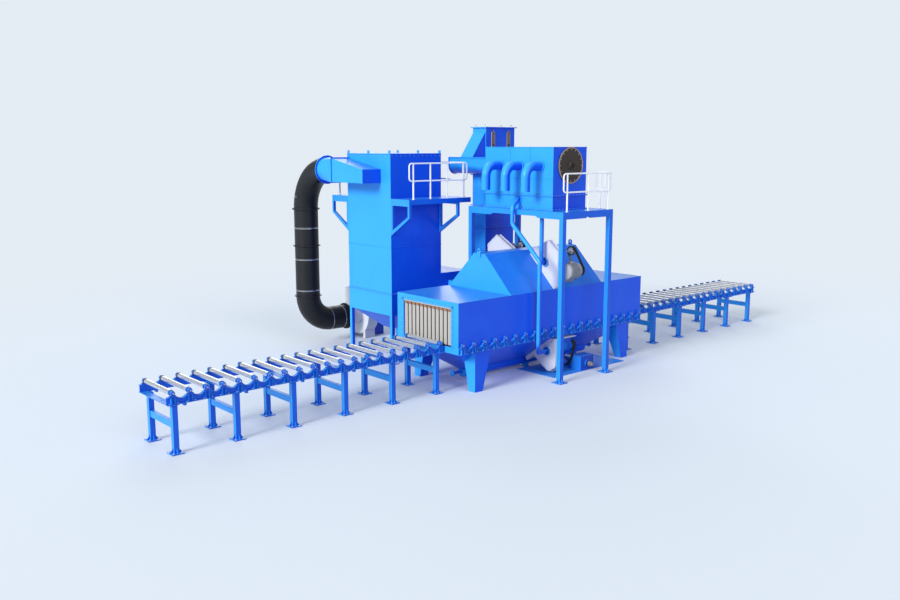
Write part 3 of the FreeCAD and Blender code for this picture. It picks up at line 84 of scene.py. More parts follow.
def paint_group():
    """Gloss paint on sheet steel: painted light that makes faces towards the key light paler, dust on upward
    faces, fine orange peel.
    """
    inputs = [
        ("Vector", "Vector", None),
        ("Paint", "Color", (0.5, 0.5, 0.5, 1)),
        ("Lit Side Paint", "Color", (0.6, 0.6, 0.6, 1)),
        ("Dust", "Color", (*DUST, 1)),
        ("Dust Amount", "Float", 0.15),
        ("Roughness", "Float", 0.3),
        ("Cloud Scale", "Float", 0.6),
    ]
    outputs = [("Color", "Color"), ("Roughness", "Float"), ("Height", "Float")]
    tree, given, out = new_group("gloss_paint", inputs, outputs)
    cloud = add_node(tree, "ShaderNodeTexNoise", Detail=4.0, Roughness=0.55)
    join(tree, given, "Vector", cloud, "Vector")
    join(tree, given, "Cloud Scale", cloud, "Scale")
    facing = tree.nodes.new("ShaderNodeNewGeometry")
    toward = add_node(tree, "ShaderNodeVectorMath", operation="DOT_PRODUCT")
    tree.links.new(facing.outputs["Normal"], toward.inputs[0])
    toward.inputs[1].default_value = PAINTED_LIGHT_SIDE
    # Faces turned towards the key light get the paler paint: painted light.
    painted_light_mask = add_node(tree, "ShaderNodeMapRange", From_Min=0.05, From_Max=0.95)
    join(tree, toward, "Value", painted_light_mask, "Value")
    drift = add_node(tree, "ShaderNodeMapRange", From_Min=0.3, From_Max=0.7, To_Min=-0.07, To_Max=0.07)
    join(tree, cloud, "Fac", drift, "Value")
    # The painted light plus a little random colour drift picks between the two paints.
    light_and_drift = add_node(tree, "ShaderNodeMath", operation="ADD", use_clamp=True)
    tree.links.new(painted_light_mask.outputs["Result"], light_and_drift.inputs[0])
    tree.links.new(drift.outputs["Result"], light_and_drift.inputs[1])
    mix = tree.nodes.new("ShaderNodeMix")
    mix.data_type = "RGBA"
    join(tree, light_and_drift, 0, mix, "Factor")
    tree.links.new(given.outputs["Paint"], mix.inputs[6])
    tree.links.new(given.outputs["Lit Side Paint"], mix.inputs[7])
    normal = tree.nodes.new("ShaderNodeNewGeometry")
    parts = tree.nodes.new("ShaderNodeSeparateXYZ")
    join(tree, normal, "Normal", parts, "Vector")
    upward = add_node(tree, "ShaderNodeMapRange", From_Min=0.6, From_Max=1.0)
    join(tree, parts, "Z", upward, "Value")
    specks = add_node(tree, "ShaderNodeTexNoise", Scale=7.0, Detail=8.0, Roughness=0.7)
    join(tree, given, "Vector", specks, "Vector")
    patches = add_node(tree, "ShaderNodeMapRange", From_Min=0.4, From_Max=0.7)
    join(tree, specks, "Fac", patches, "Value")
    lie = add_node(tree, "ShaderNodeMath", operation="MULTIPLY")
    tree.links.new(upward.outputs["Result"], lie.inputs[0])
    tree.links.new(patches.outputs["Result"], lie.inputs[1])
    amount = add_node(tree, "ShaderNodeMath", operation="MULTIPLY")
    tree.links.new(lie.outputs[0], amount.inputs[0])
    tree.links.new(given.outputs["Dust Amount"], amount.inputs[1])
    dusty = tree.nodes.new("ShaderNodeMix")
    dusty.data_type = "RGBA"
    tree.links.new(amount.outputs[0], dusty.inputs["Factor"])
    tree.links.new(mix.outputs[2], dusty.inputs[6])
    tree.links.new(given.outputs["Dust"], dusty.inputs[7])
    tree.links.new(dusty.outputs[2], out.inputs["Color"])
    shine = add_node(tree, "ShaderNodeMapRange", From_Min=0.3, From_Max=0.7, To_Min=-0.06, To_Max=0.10)
    join(tree, specks, "Fac", shine, "Value")
    rough = add_node(tree, "ShaderNodeMath", operation="ADD")
    tree.links.new(given.outputs["Roughness"], rough.inputs[0])
    tree.links.new(shine.outputs["Result"], rough.inputs[1])
    tree.links.new(rough.outputs[0], out.inputs["Roughness"])
    peel = add_node(tree, "ShaderNodeTexNoise", Scale=90.0, Detail=2.0)
    join(tree, given, "Vector", peel, "Vector")
    join(tree, peel, "Fac", out, "Height")
    return tree


def edge_group():
    """A mask along outer edges, broken up by noise, where paint wears thin."""
    inputs = [("Vector", "Vector", None), ("Width", "Float", 0.01), ("Amount", "Float", 0.5)]
    tree, given, out = new_group("worn_edges", inputs, [("Mask", "Float")])
    bevel = add_node(tree, "ShaderNodeBevel", samples=4)
    join(tree, given, "Width", bevel, "Radius")
    flat = tree.nodes.new("ShaderNodeNewGeometry")
    dot = add_node(tree, "ShaderNodeVectorMath", operation="DOT_PRODUCT")
    tree.links.new(bevel.outputs["Normal"], dot.inputs[0])
    tree.links.new(flat.outputs["Normal"], dot.inputs[1])
    edge = add_node(tree, "ShaderNodeMapRange", From_Min=0.99, From_Max=0.82)
    tree.links.new(dot.outputs["Value"], edge.inputs["Value"])
    chips = add_node(tree, "ShaderNodeTexNoise", Scale=9.0, Detail=6.0, Roughness=0.75)
    join(tree, given, "Vector", chips, "Vector")
    broken = add_node(tree, "ShaderNodeMapRange", From_Min=0.35, From_Max=0.6)
    join(tree, chips, "Fac", broken, "Value")
    both = add_node(tree, "ShaderNodeMath", operation="MULTIPLY")
    tree.links.new(edge.outputs["Result"], both.inputs[0])
    tree.links.new(broken.outputs["Result"], both.inputs[1])
    scaled = add_node(tree, "ShaderNodeMath", operation="MULTIPLY")
    tree.links.new(both.outputs[0], scaled.inputs[0])
    tree.links.new(given.outputs["Amount"], scaled.inputs[1])
    tree.links.new(scaled.outputs[0], out.inputs["Mask"])
    return tree


PAINT = paint_group()
EDGES = edge_group()


def start_material(name, roughness=0.4, metallic=0.0):
    material = bpy.data.materials.new(name)
    material.use_nodes = True
    tree = material.node_tree
    shader = tree.nodes["Principled BSDF"]
    shader.inputs["Roughness"].default_value = roughness
    shader.inputs["Metallic"].default_value = metallic
    place = tree.nodes.new("ShaderNodeTexCoord")
    return material, tree, shader, place


def painted(name, paint, pale, chip, roughness=0.32, dust=0.12, wear=0.5, width=0.012, coat=0.08, cloud=0.6):
    """Painted steel with painted light (paler on faces towards the key light, with a little random drift),
    dust on top, worn edges and a soft bevel on every corner.
    """
    material, tree, shader, place = start_material(name)
    skin = add_node(tree, "ShaderNodeGroup", node_tree=PAINT)
    skin.inputs["Paint"].default_value = (*paint, 1)
    skin.inputs["Lit Side Paint"].default_value = (*pale, 1)
    skin.inputs["Dust Amount"].default_value = dust
    skin.inputs["Roughness"].default_value = roughness
    skin.inputs["Cloud Scale"].default_value = cloud
    join(tree, place, "Object", skin, "Vector")
    edges = add_node(tree, "ShaderNodeGroup", node_tree=EDGES)
    edges.inputs["Width"].default_value = width
    edges.inputs["Amount"].default_value = wear
    join(tree, place, "Object", edges, "Vector")
    mix = tree.nodes.new("ShaderNodeMix")
    mix.data_type = "RGBA"
    mix.inputs[7].default_value = (*chip, 1)
    join(tree, edges, "Mask", mix, "Factor")
    tree.links.new(skin.outputs["Color"], mix.inputs[6])
    tree.links.new(mix.outputs[2], shader.inputs["Base Color"])
    join(tree, skin, "Roughness", shader, "Roughness")
    bump = add_node(tree, "ShaderNodeBump", Strength=0.05, Distance=0.002)
    join(tree, skin, "Height", bump, "Height")
    round_edge = add_node(tree, "ShaderNodeBevel", samples=3, Radius=width * 0.5)
    join(tree, round_edge, "Normal", bump, "Normal")
    join(tree, bump, "Normal", shader, "Normal")
    shader.inputs["Specular IOR Level"].default_value = 0.22
    shader.inputs["Coat Weight"].default_value = coat
    shader.inputs["Coat Roughness"].default_value = 0.12
    return material


def metal(name, dark, bright, roughness, stretch=(1, 1, 1), scale=30.0, metallic=0.9):
    """Bare metal with fine turning or rolling marks that run along the stretched axis."""
    material, tree, shader, place = start_material(name, roughness, metallic)
    mapping = tree.nodes.new("ShaderNodeMapping")
    mapping.inputs["Scale"].default_value = stretch
    join(tree, place, "Object", mapping, "Vector")
    marks = add_node(tree, "ShaderNodeTexNoise", Scale=scale, Detail=5.0, Roughness=0.6)
    join(tree, mapping, "Vector", marks, "Vector")
    ramp = tree.nodes.new("ShaderNodeMix")
    ramp.data_type = "RGBA"
    ramp.inputs[6].default_value = (*dark, 1)
    ramp.inputs[7].default_value = (*bright, 1)
    join(tree, marks, "Fac", ramp, "Factor")
    tree.links.new(ramp.outputs[2], shader.inputs["Base Color"])
    rough = add_node(tree, "ShaderNodeMapRange", To_Min=roughness - 0.08, To_Max=roughness + 0.12)
    join(tree, marks, "Fac", rough, "Value")
    join(tree, rough, "Result", shader, "Roughness")
    bump = add_node(tree, "ShaderNodeBump", Strength=0.08, Distance=0.002)
    join(tree, marks, "Fac", bump, "Height")
    join(tree, bump, "Normal", shader, "Normal")
    return material


# The second colour of each finish is a paler, lit copy for faces towards the key light: painted light.
housing_blue = painted("housing_blue", SHEET_BLUE, PAINTED_LIT_BLUE, CHIPPED_BLUE, wear=0.35)
frame_blue = painted("frame_blue", SECTION_BLUE, PAINTED_LIT_SECTION, CHIPPED_BLUE, wear=0.35, width=0.006)
deep_blue = painted("deep_blue", DEEP_BLUE, PAINTED_LIT_DEEP, CHIPPED_BLUE, width=0.004)
off_white = painted("off_white", (0.50, 0.53, 0.62), (0.74, 0.76, 0.80), (0.40, 0.36, 0.32), dust=0.1)
rail_white = painted("rail_white", (0.78, 0.80, 0.84), (0.84, 0.85, 0.87), (0.6, 0.62, 0.66),
                     dust=0.0, wear=0.2)
motor_grey = painted("motor_grey", (0.22, 0.24, 0.28), (0.46, 0.48, 0.52), (0.6, 0.62, 0.66), roughness=0.38)
duct_black = painted("duct_black", (0.007, 0.008, 0.010), (0.018, 0.019, 0.022), (0.12, 0.12, 0.13),
                     roughness=0.42, coat=0.05, dust=0.04, wear=0.3)
drum_brown = painted("drum_brown", (0.045, 0.034, 0.030), (0.075, 0.058, 0.050), (0.2, 0.18, 0.16),
                     roughness=0.55, coat=0.0)
worn_tan = painted("worn_tan", (0.30, 0.22, 0.15), (0.46, 0.36, 0.27), (0.5, 0.42, 0.34),
                   roughness=0.5, coat=0.0)
rubber_strip = painted("rubber_strip", (0.34, 0.31, 0.28), (0.50, 0.47, 0.43), (0.5, 0.48, 0.45),
                       roughness=0.7, coat=0.0, wear=0.2)
black_rubber = painted("black_rubber", (0.010, 0.010, 0.011), (0.022, 0.022, 0.023), (0.05, 0.05, 0.05),
                       roughness=0.62, coat=0.0, dust=0.05, wear=0.2, width=0.003)
clamp_brown = painted("clamp_brown", (0.16, 0.07, 0.035), (0.34, 0.15, 0.07), (0.4, 0.22, 0.12),
                      roughness=0.5)
roller_steel = metal("roller_steel", (0.60, 0.62, 0.65), (0.86, 0.88, 0.91), 0.26, (1, 0.05, 1), 60.0, 0.75)
zinc = metal("zinc", (0.50, 0.52, 0.56), (0.76, 0.78, 0.82), 0.32, (1, 1, 1), 40.0, 0.8)
dark_steel = metal("dark_steel", (0.03, 0.03, 0.035), (0.08, 0.08, 0.09), 0.45, (1, 1, 1), 30.0, 0.6)

NODE_PAINT = {
    "infeed_bed": frame_blue, "outfeed_bed": frame_blue,
    "infeed_legs": frame_blue, "outfeed_legs": frame_blue,
    "roller_bearings": deep_blue, "chamber_bearing_rails": frame_blue,
    "infeed_rollers": roller_steel, "outfeed_rollers": roller_steel, "chamber_rollers": roller_steel,
    "infeed_curtain": rubber_strip, "outfeed_curtain": rubber_strip,
    "upper_blast_wheels": off_white, "lower_blast_wheels": off_white,
    "upper_wheel_drives": motor_grey, "lower_wheel_drives": deep_blue, "screw_drive": deep_blue,
    "separator_drum_end": drum_brown, "separator_handrail": rail_white, "collector_handrails": rail_white,
    "exhaust_duct": duct_black, "exhaust_fan": off_white, "fan_motor": deep_blue,
    "separator_platform": frame_blue, "separator_columns": frame_blue, "collector_walkway": frame_blue,
}

for name, node in nodes.items():
    node.data.materials.clear()
    node.data.materials.append(NODE_PAINT.get(name, housing_blue))

# Places of the machine's parts in metres
ROLLER_Z = 1.388
BED_ROLLERS = [side * (4.045 + 0.4 * i) for side in (-1, 1) for i in range(20)]
CHAMBER_ROLLERS = [side * (0.2 + 0.4 * i) for side in (-1, 1) for i in range(10)]
BED_RAIL = (0.690, 0.772)
CHAMBER_RAIL = (1.302, 1.384)
LEG_X = [side * (4.112 + 1.494 * i) for side in (-1, 1) for i in range(6)]
COLUMN_FEET = [(x, y) for x in (-0.8, 1.21) for y in (-2.13, 1.57)]
COLLECTOR_FEET = [(x, y) for x in (-2.925, -1.055) for y in (2.835, 4.945)]
UPPER_SLOPE = (Vector((-1.302, 2.536)), Vector((0.7098, 0.7045)), Vector((-0.7045, 0.7098)))
LOWER_SLOPE = (Vector((-1.302, 1.130)), Vector((0.8094, -0.5873)), Vector((-0.5873, -0.8094)))
UPPER_CASING = [(0.012, 0.10), (-0.028, 0.159), (0.651, 0.877), (1.150, 0.827), (1.347, 0.129)]
LOWER_CASING = [(0.112, 0.10), (-0.075, 0.136), (0.417, 0.765), (0.643, 0.783), (0.753, 0.723),
                (0.854, 0.490), (0.981, 0.110)]
CASING_X = (-0.215, -0.050)
ROLLER_SHAFT_RING = (0.050, 0.0635)
STRIPS = 12
STRIP_PITCH = 2.010 / STRIPS
CURTAIN_TOP = 2.334
ANCHOR = 0.105
BASE_PLATE = 0.020
ARC_STEPS = 24
SHARP_ANGLE = math.radians(38)


def new_piece(name, bm, material):
    """Makes one object of the mesh, carried by the machine, with its finish from the slot."""
    bmesh.ops.recalc_face_normals(bm, faces=bm.faces)
    mesh = bpy.data.meshes.new(name)
    bm.to_mesh(mesh)
    bm.free()
    mesh.materials.append(material)
    mesh.polygons.foreach_set("use_smooth", [True] * len(mesh.polygons))
    mesh.set_sharp_from_angle(angle=SHARP_ANGLE)
    piece = bpy.data.objects.new(name, mesh)
    bpy.context.scene.collection.objects.link(piece)
    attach(piece, "root")
    return piece


def add_box(bm, low, high):
    made = bmesh.ops.create_cube(bm, size=1.0)["verts"]
    bmesh.ops.scale(bm, vec=[b - a for a, b in zip(low, high)], verts=made)
    bmesh.ops.translate(bm, vec=[(a + b) / 2 for a, b in zip(low, high)], verts=made)


def add_turned(bm, place, direction, profile, sides=24, loop=False):
    """Turns (radius, height) points round the direction through place; a loop closes on itself."""
    axis = Vector(direction).normalized()
    side = axis.orthogonal().normalized()
    other = axis.cross(side)
    rings = []
    for radius, height in profile:
        centre = Vector(place) + axis * height
        angles = [math.tau * (i + 0.5) / sides for i in range(sides if radius else 1)]
        spokes = [side * math.cos(a) + other * math.sin(a) for a in angles]
        rings.append([bm.verts.new(centre + spoke * radius) for spoke in spokes])
    if loop:
        rings.append(rings[0])
    for low, high in zip(rings, rings[1:]):
        for i in range(sides):
            j = (i + 1) % sides
            if len(low) == 1:
                bm.faces.new((low[0], high[i], high[j]))
            elif len(high) == 1:
                bm.faces.new((low[i], low[j], high[0]))
            else:
                bm.faces.new((low[i], low[j], high[j], high[i]))


def add_rod(bm, start, end, radius, sides=20):
    run = Vector(end) - Vector(start)
    add_turned(bm, start, run, [(0, 0), (radius, 0), (radius, run.length), (0, run.length)], sides)


def add_ring(bm, place, direction, inner, outer, depth, sides=32):
    profile = [(inner, 0), (outer, 0), (outer, depth), (inner, depth)]
    add_turned(bm, place, direction, profile, sides, True)


def add_bolt(bm, place, direction, size):
    """A six-sided bolt head with a chamfered top."""
    top = size * 0.85
    head = [(0, 0), (size, 0), (size, size * 0.65), (size * 0.8, top), (0, top)]
    add_turned(bm, place, direction, head, 6)


def add_eye(bm, place, direction, radius, thick):
    """A lifting ring that stands on the place, with its hole along the direction."""
    centre = Vector(place) + Vector((0, 0, radius))
    angles = [math.tau * i / 8 for i in range(8)]
    profile = [(radius + thick * math.cos(a), thick * math.sin(a)) for a in angles]
    add_turned(bm, centre, direction, profile, 20, True)


def steps(start, end, pitch):
    """Even places from start to end, about a pitch apart, with both ends."""
    start, end = Vector(start), Vector(end)
    count = max(1, round((end - start).length / pitch))
    return [start.lerp(end, i / count) for i in range(count + 1)]


def bolt_row(bm, start, end, direction, size, pitch):
    for place in steps(start, end, pitch):
        add_bolt(bm, place, direction, size)


def bolt_frame(bm, x0, x1, y0, y1, z, size, pitch):
    """Bolts standing on a flat flange, along its four sides."""
    corners = [(x0, y0, z), (x1, y0, z), (x1, y1, z), (x0, y1, z)]
    for a, b in zip(corners, corners[1:] + corners[:1]):
        for place in steps(a, b, pitch)[:-1]:
            add_bolt(bm, place, (0, 0, 1), size)


def bolt_circle(bm, centre, axis, radius, count, size):
    axis = Vector(axis)
    side = axis.orthogonal().normalized()
    other = axis.cross(side)
    for i in range(count):
        a = math.tau * i / count
        add_bolt(bm, Vector(centre) + (side * math.cos(a) + other * math.sin(a)) * radius, axis, size)


def on_slope(slope, x, s, n, mirror=1):
    """A point s along a wheel's slope and n out from it; mirror -1 is the far side."""
    foot, along, out = slope
    y, z = foot + along * s + out * n
    return Vector((x, y * mirror, z))


def spread(outline, by):
    """The outline moved out from its middle, or in for a negative distance."""
    middle = sum((Vector(p) for p in outline), Vector((0, 0))) / len(outline)
    return [Vector(p) + (Vector(p) - middle).normalized() * by for p in outline]


def close_rings(bm, rings):
    """Joins each ring of points to the next and the last to the first."""
    count = len(rings[0])
    for a, b in zip(rings, rings[1:] + rings[:1]):
        for i in range(count):
            j = (i + 1) % count
            bm.faces.new((a[i], a[j], b[j], b[i]))


def add_band(bm, slope, outer, inner, x0, x1, mirror):
    """A flat strip that follows a casing's outline from the outer to the inner line."""
    corners = ((outer, x0), (outer, x1), (inner, x1), (inner, x0))
    close_rings(bm, [[bm.verts.new(on_slope(slope, x, *p, mirror)) for p in line] for line, x in corners])


def belt_line(wheel, motor, grow):
    """The line of a belt round two pulleys, each (y, z, radius)."""
    dy, dz = motor[0] - wheel[0], motor[1] - wheel[1]
    base = math.atan2(dz, dy)
    lean = math.acos((wheel[2] - motor[2]) / math.hypot(dy, dz))
    points = []
    arcs = ((motor, base - lean, base + lean), (wheel, base + lean, base - lean + math.tau))
    for centre, first, last in arcs:
        radius = centre[2] + grow
        for i in range(ARC_STEPS + 1):
            a = first + (last - first) * i / ARC_STEPS
            points.append((centre[0] + radius * math.cos(a), centre[1] + radius * math.sin(a)))
    return points


def add_belt(bm, x0, x1, wheel, motor, mirror):
    """A closed belt with three ribs across its back."""
    width = x1 - x0
    edges = [(x0, 0.002), (x0, 0.016), (x0 + width * 0.32, 0.016), (x0 + width * 0.34, 0.011),
             (x0 + width * 0.36, 0.016), (x0 + width * 0.64, 0.016), (x0 + width * 0.66, 0.011),
             (x0 + width * 0.68, 0.016), (x1, 0.016), (x1, 0.002)]
    lines = [(x, belt_line(wheel, motor, grow)) for x, grow in edges]
    close_rings(bm, [[bm.verts.new((x, y * mirror, z)) for y, z in line] for x, line in lines])


def dress_rollers():
    """Coloured rings at both ends of every bed roller."""
    near, far = bmesh.new(), bmesh.new()
    for x in BED_ROLLERS:
        add_ring(near, (x, -0.676, ROLLER_Z), (0, 1, 0), *ROLLER_SHAFT_RING, 0.038, 28)
        add_ring(far, (x, 0.634, ROLLER_Z), (0, 1, 0), *ROLLER_SHAFT_RING, 0.042, 28)
    new_piece("roller_rings", near, deep_blue)
    new_piece("roller_collars", far, dark_steel)


def dress_bearings():
    """Foot bolts, face bolts and a bright cap on every bearing, and bolts through the rails."""
    bolts, caps = bmesh.new(), bmesh.new()
    for places, rail, half in ((BED_ROLLERS, BED_RAIL, 0.727), (CHAMBER_ROLLERS, CHAMBER_RAIL, 1.346)):
        for x in places:
            for side in (-1, 1):
                out = (0, side, 0)
                for dx in (-0.062, 0.062):
                    add_bolt(bolts, (x + dx, side * half, 1.334), (0, 0, 1), 0.013)
                bolt_circle(bolts, (x, side * (half + 0.030), ROLLER_Z), out, 0.042, 4, 0.006)
                cap = (x, side * (half + 0.046), ROLLER_Z)
                add_rod(caps, cap, (x, side * (half + 0.049), ROLLER_Z), 0.016, 16)
                for dx in (-0.10, 0.10):
                    add_bolt(bolts, (x + dx, side * rail[1], 1.165), out, 0.011)
    new_piece("bearing_bolts", bolts, zinc)
    new_piece("bearing_caps", caps, zinc)


def dress_feet():
    """Nuts on the threaded ends of the floor anchors, four to a base plate."""
    bm = bmesh.new()
    feet = [(x, side * 0.615) for x in LEG_X for side in (-1, 1)] + COLUMN_FEET + COLLECTOR_FEET
    for x, y in feet:
        for ax in (x - ANCHOR, x + ANCHOR):
            for ay in (y - ANCHOR, y + ANCHOR):
                washer = [(0, 0), (0.024, 0), (0.024, 0.004), (0, 0.004)]
                add_turned(bm, (ax, ay, BASE_PLATE), (0, 0, 1), washer, 14)
                add_bolt(bm, (ax, ay, BASE_PLATE + 0.004), (0, 0, 1), 0.017)
                add_rod(bm, (ax, ay, BASE_PLATE + 0.016), (ax, ay, BASE_PLATE + 0.034), 0.009, 10)
    new_piece("anchor_nuts", bm, zinc)


def dress_curtains():
    """Brown clamps with bolts over the strips, and a second row of black strips behind the gaps."""
    clamps, backs, bolts = bmesh.new(), bmesh.new(), bmesh.new()
    for side in (-1, 1):
        out = (side, 0, 0)
        for i in range(STRIPS):
            y = (i - (STRIPS - 1) / 2) * STRIP_PITCH
            xs = sorted((side * 3.896, side * 3.906))
            add_box(clamps, (xs[0], y - 0.060, 2.262), (xs[1], y + 0.060, CURTAIN_TOP))
            for dy in (-0.035, 0.035):
                add_bolt(bolts, (side * 3.906, y + dy, 2.298), out, 0.010)
        for i in range(STRIPS + 1):
            y = (i - STRIPS / 2) * STRIP_PITCH
            xs = sorted((side * 3.880, side * 3.886))
            low, high = max(y - 0.062, -1.003), min(y + 0.062, 1.003)
            add_box(backs, (xs[0], low, 1.352), (xs[1], high, CURTAIN_TOP))
    new_piece("curtain_clamps", clamps, clamp_brown)
    new_piece("curtain_backs", backs, black_rubber)
    new_piece("curtain_bolts", bolts, zinc)


def dress_casing(slope, outline, ring, white, bolts, inlet_shade, rims):
    """Edge flange, cover bolts and inlet of the blast wheels on one pair of slopes."""
    face, back = CASING_X
    middle = (face + back) / 2
    rim = spread(outline, 0.024)
    line = spread(outline, -0.008)
    for mirror in (1, -1):
        add_band(white, slope, rim, spread(outline, -0.03), face - 0.004, face + 0.010, mirror)
        add_band(white, slope, rim, spread(outline, -0.01), back - 0.012, back, mirror)
        for a, b in zip(line, line[1:]):
            for p in steps(a, b, 0.085)[:-1]:
                add_bolt(bolts, on_slope(slope, face - 0.004, *p, mirror), (-1, 0, 0), 0.013)
        for a, b in zip(rim[1:], rim[2:]):
            inward = (b - a).normalized().orthogonal() * 0.1
            for p in steps(a, b, 0.11)[1:-1]:
                start = on_slope(slope, middle, *p, mirror)
                inner = on_slope(slope, middle, *(Vector(p) - inward), mirror)
                add_bolt(bolts, start - (start - inner).normalized() * 0.024, start - inner, 0.012)
        centre = Vector((face - 0.060, ring[0] * mirror, ring[1]))
        add_ring(rims, centre - Vector((0.010, 0, 0)), (1, 0, 0), 0.098, 0.134, 0.024, 36)
        # A black disc in each inlet stands for the dark inside of the open inlet: painted shade.
        add_rod(inlet_shade, centre + Vector((-0.002, 0, 0)), centre + Vector((0.012, 0, 0)), 0.099, 32)
        bolt_circle(bolts, centre - Vector((0.010, 0, 0)), (-1, 0, 0), 0.117, 8, 0.009)


def dress_wheels():
    white, bolts, inlet_shade, rims = bmesh.new(), bmesh.new(), bmesh.new(), bmesh.new()
    dress_casing(UPPER_SLOPE, UPPER_CASING, (-0.978, 3.312), white, bolts, inlet_shade, rims)
    dress_casing(LOWER_SLOPE, LOWER_CASING, (-1.127, 0.682), white, bolts, inlet_shade, rims)
    for mirror in (1, -1):
        out = on_slope(UPPER_SLOPE, 0, 0, 1, mirror) - on_slope(UPPER_SLOPE, 0, 0, 0, mirror)
        for i in range(8):
            for x in (-0.165, 0.165):
                add_bolt(bolts, on_slope(UPPER_SLOPE, x, 0.12 + 0.16 * i, 0.090, mirror), out, 0.014)
    new_piece("casing_flanges", white, off_white)
    new_piece("casing_bolts", bolts, zinc)
    new_piece("inlet_shade_discs", inlet_shade, black_rubber)
    new_piece("inlet_rims", rims, frame_blue)


def add_motor(fins, cowl, x0, x1, y, z, radius, fan_end):
    """Cooling ribs along a motor's body, a terminal box, and a cowl at the fan's end."""
    length = x1 - x0
    count = max(20, round(math.tau * radius / 0.036))
    for i in range(count):
        a = math.tau * i / count
        if math.sin(a) < -0.8:
            continue
        out = Vector((0, math.cos(a), math.sin(a)))
        across = Vector((0, -math.sin(a), math.cos(a))) * 0.004
        low, high = Vector((x0 + length * 0.16, y, z)), Vector((x0 + length * 0.84, y, z))
        corners = [low + out * (radius - 0.004), high + out * (radius - 0.004),
                   high + out * (radius + 0.020), low + out * (radius + 0.020)]
        near = [fins.verts.new(c + across) for c in corners]
        far = [fins.verts.new(c - across) for c in corners]
        fins.faces.new(near)
        fins.faces.new(list(reversed(far)))
        for j in range(4):
            k = (j + 1) % 4
            fins.faces.new((near[k], near[j], far[j], far[k]))
    for x in (x0 + length * 0.13, x0 + length * 0.84):
        add_ring(fins, (x, y, z), (1, 0, 0), radius - 0.01, radius + 0.024, length * 0.035, 36)
    out = -1 if fan_end == x0 else 1
    add_turned(cowl, (fan_end - out * length * 0.12, y, z), (out, 0, 0),
               [(radius - 0.01, 0), (radius + 0.016, 0), (radius + 0.016, length * 0.10),
                (radius * 0.86, length * 0.13), (radius * 0.3, length * 0.135), (0, length * 0.135)], 36)
    add_box(cowl, (x0 + length * 0.36, y - radius * 0.36, z + radius * 0.9),
            (x0 + length * 0.66, y + radius * 0.36, z + radius * 1.30))


def dress_drives():
    """Motors with ribs and cowls, black belts, and the faces of their pulleys."""
    fins, cowls, blue, belts = bmesh.new(), bmesh.new(), bmesh.new(), bmesh.new()
    rims, hubs, pulley_hole_shade = bmesh.new(), bmesh.new(), bmesh.new()
    for mirror in (1, -1):
        add_motor(fins, cowls, 0.235, 0.745, -1.350 * mirror, 3.010, 0.215, 0.235)
        add_motor(blue, blue, 0.230, 0.540, -1.280 * mirror, 0.775, 0.130, 0.230)
        for x0, wheel, motor in ((0.800, (-1.044, 3.553, 0.130), (-1.350, 3.010, 0.165)),
                                 (0.560, (-1.120, 0.257, 0.130), (-1.280, 0.775, 0.165))):
            add_belt(belts, x0 - 0.002, x0 + 0.092, wheel, motor, mirror)
            for y, z, radius in (wheel, motor):
                for x, out in ((x0, -1), (x0 + 0.090, 1)):
                    place = (x - out * 0.001, y * mirror, z)
                    add_ring(rims, place, (out, 0, 0), radius * 0.80, radius + 0.004, 0.005, 40)
                    wide, narrow = radius * 0.42, radius * 0.30
                    hub = [(0, 0), (wide, 0), (wide, 0.008), (narrow, 0.010), (narrow, 0.018), (0, 0.018)]
                    add_turned(hubs, place, (out, 0, 0), hub, 28)
                    # Five black dots on each pulley face stand for its holes: painted shade seen through
                    # them.
                    for i in range(5):
                        a = math.tau * i / 5
                        arm = radius * 0.61
                        spot = Vector((x, y * mirror + math.cos(a) * arm, z + math.sin(a) * arm))
                        add_rod(pulley_hole_shade, spot, spot + Vector((out * 0.003, 0, 0)), radius * 0.14, 14)
    add_motor(blue, blue, -0.790, -0.310, 6.940, 0.800, 0.190, -0.310)
    new_piece("motor_ribs", fins, motor_grey)
    new_piece("motor_cowls", cowls, motor_grey)
    new_piece("blue_motor_ribs", blue, deep_blue)
    new_piece("drive_belts", belts, black_rubber)
    new_piece("pulley_rims", rims, dark_steel)
    new_piece("pulley_hubs", hubs, zinc)
    new_piece("pulley_hole_shade_dots", pulley_hole_shade, black_rubber)


def dress_elevator():
    """Flange bolts up the casing, take-up screws in channels on the head, lifting eyes on top."""
    bolts, dark, tan, eyes = bmesh.new(), bmesh.new(), bmesh.new(), bmesh.new()
    for z in [1.224 + 0.708 * i for i in range(6)] + [5.740, 7.225]:
        bolt_frame(bolts, 0.398, 1.717, 2.223, 2.887, z, 0.012, 0.135)
    for y, out in ((2.250, -1), (2.860, 1)):
        for x in (0.72, 1.40):
            a, b = sorted((y, y + out * 0.004))
            add_box(dark, (x - 0.055, a, 6.30), (x + 0.055, b, 7.06))
            a, b = sorted((y, y + out * 0.036))
            for dx in (-0.064, 0.054):
                add_box(tan, (x + dx, a, 6.28), (x + dx + 0.010, b, 7.08))
            for z in (6.28, 7.07):
                add_box(tan, (x - 0.064, a, z), (x + 0.064, b, z + 0.012))
            add_rod(tan, (x, y + out * 0.020, 6.29), (x, y + out * 0.020, 7.12), 0.010, 12)
            add_box(dark, (x - 0.040, a, 6.60), (x + 0.040, b, 6.70))
            for z in (6.715, 7.082):
                nut = [(0, 0), (0.020, 0), (0.020, 0.016), (0, 0.016)]
                add_turned(tan, (x, y + out * 0.020, z), (0, 0, 1), nut, 6)
    for x in (0.50, 1.615):
        for y in (2.33, 2.78):
            add_eye(eyes, (x, y, 7.222), (1, 0, 0), 0.036, 0.010)
    bolt_row(bolts, (0.425, 2.30, 6.25), (0.425, 2.30, 5.80), (-1, 0, 0), 0.011, 0.11)
    new_piece("elevator_bolts", bolts, zinc)
    new_piece("takeup_channels", dark, dark_steel)
    new_piece("takeup_screws", tan, worn_tan)
    new_piece("lifting_eyes", eyes, zinc)


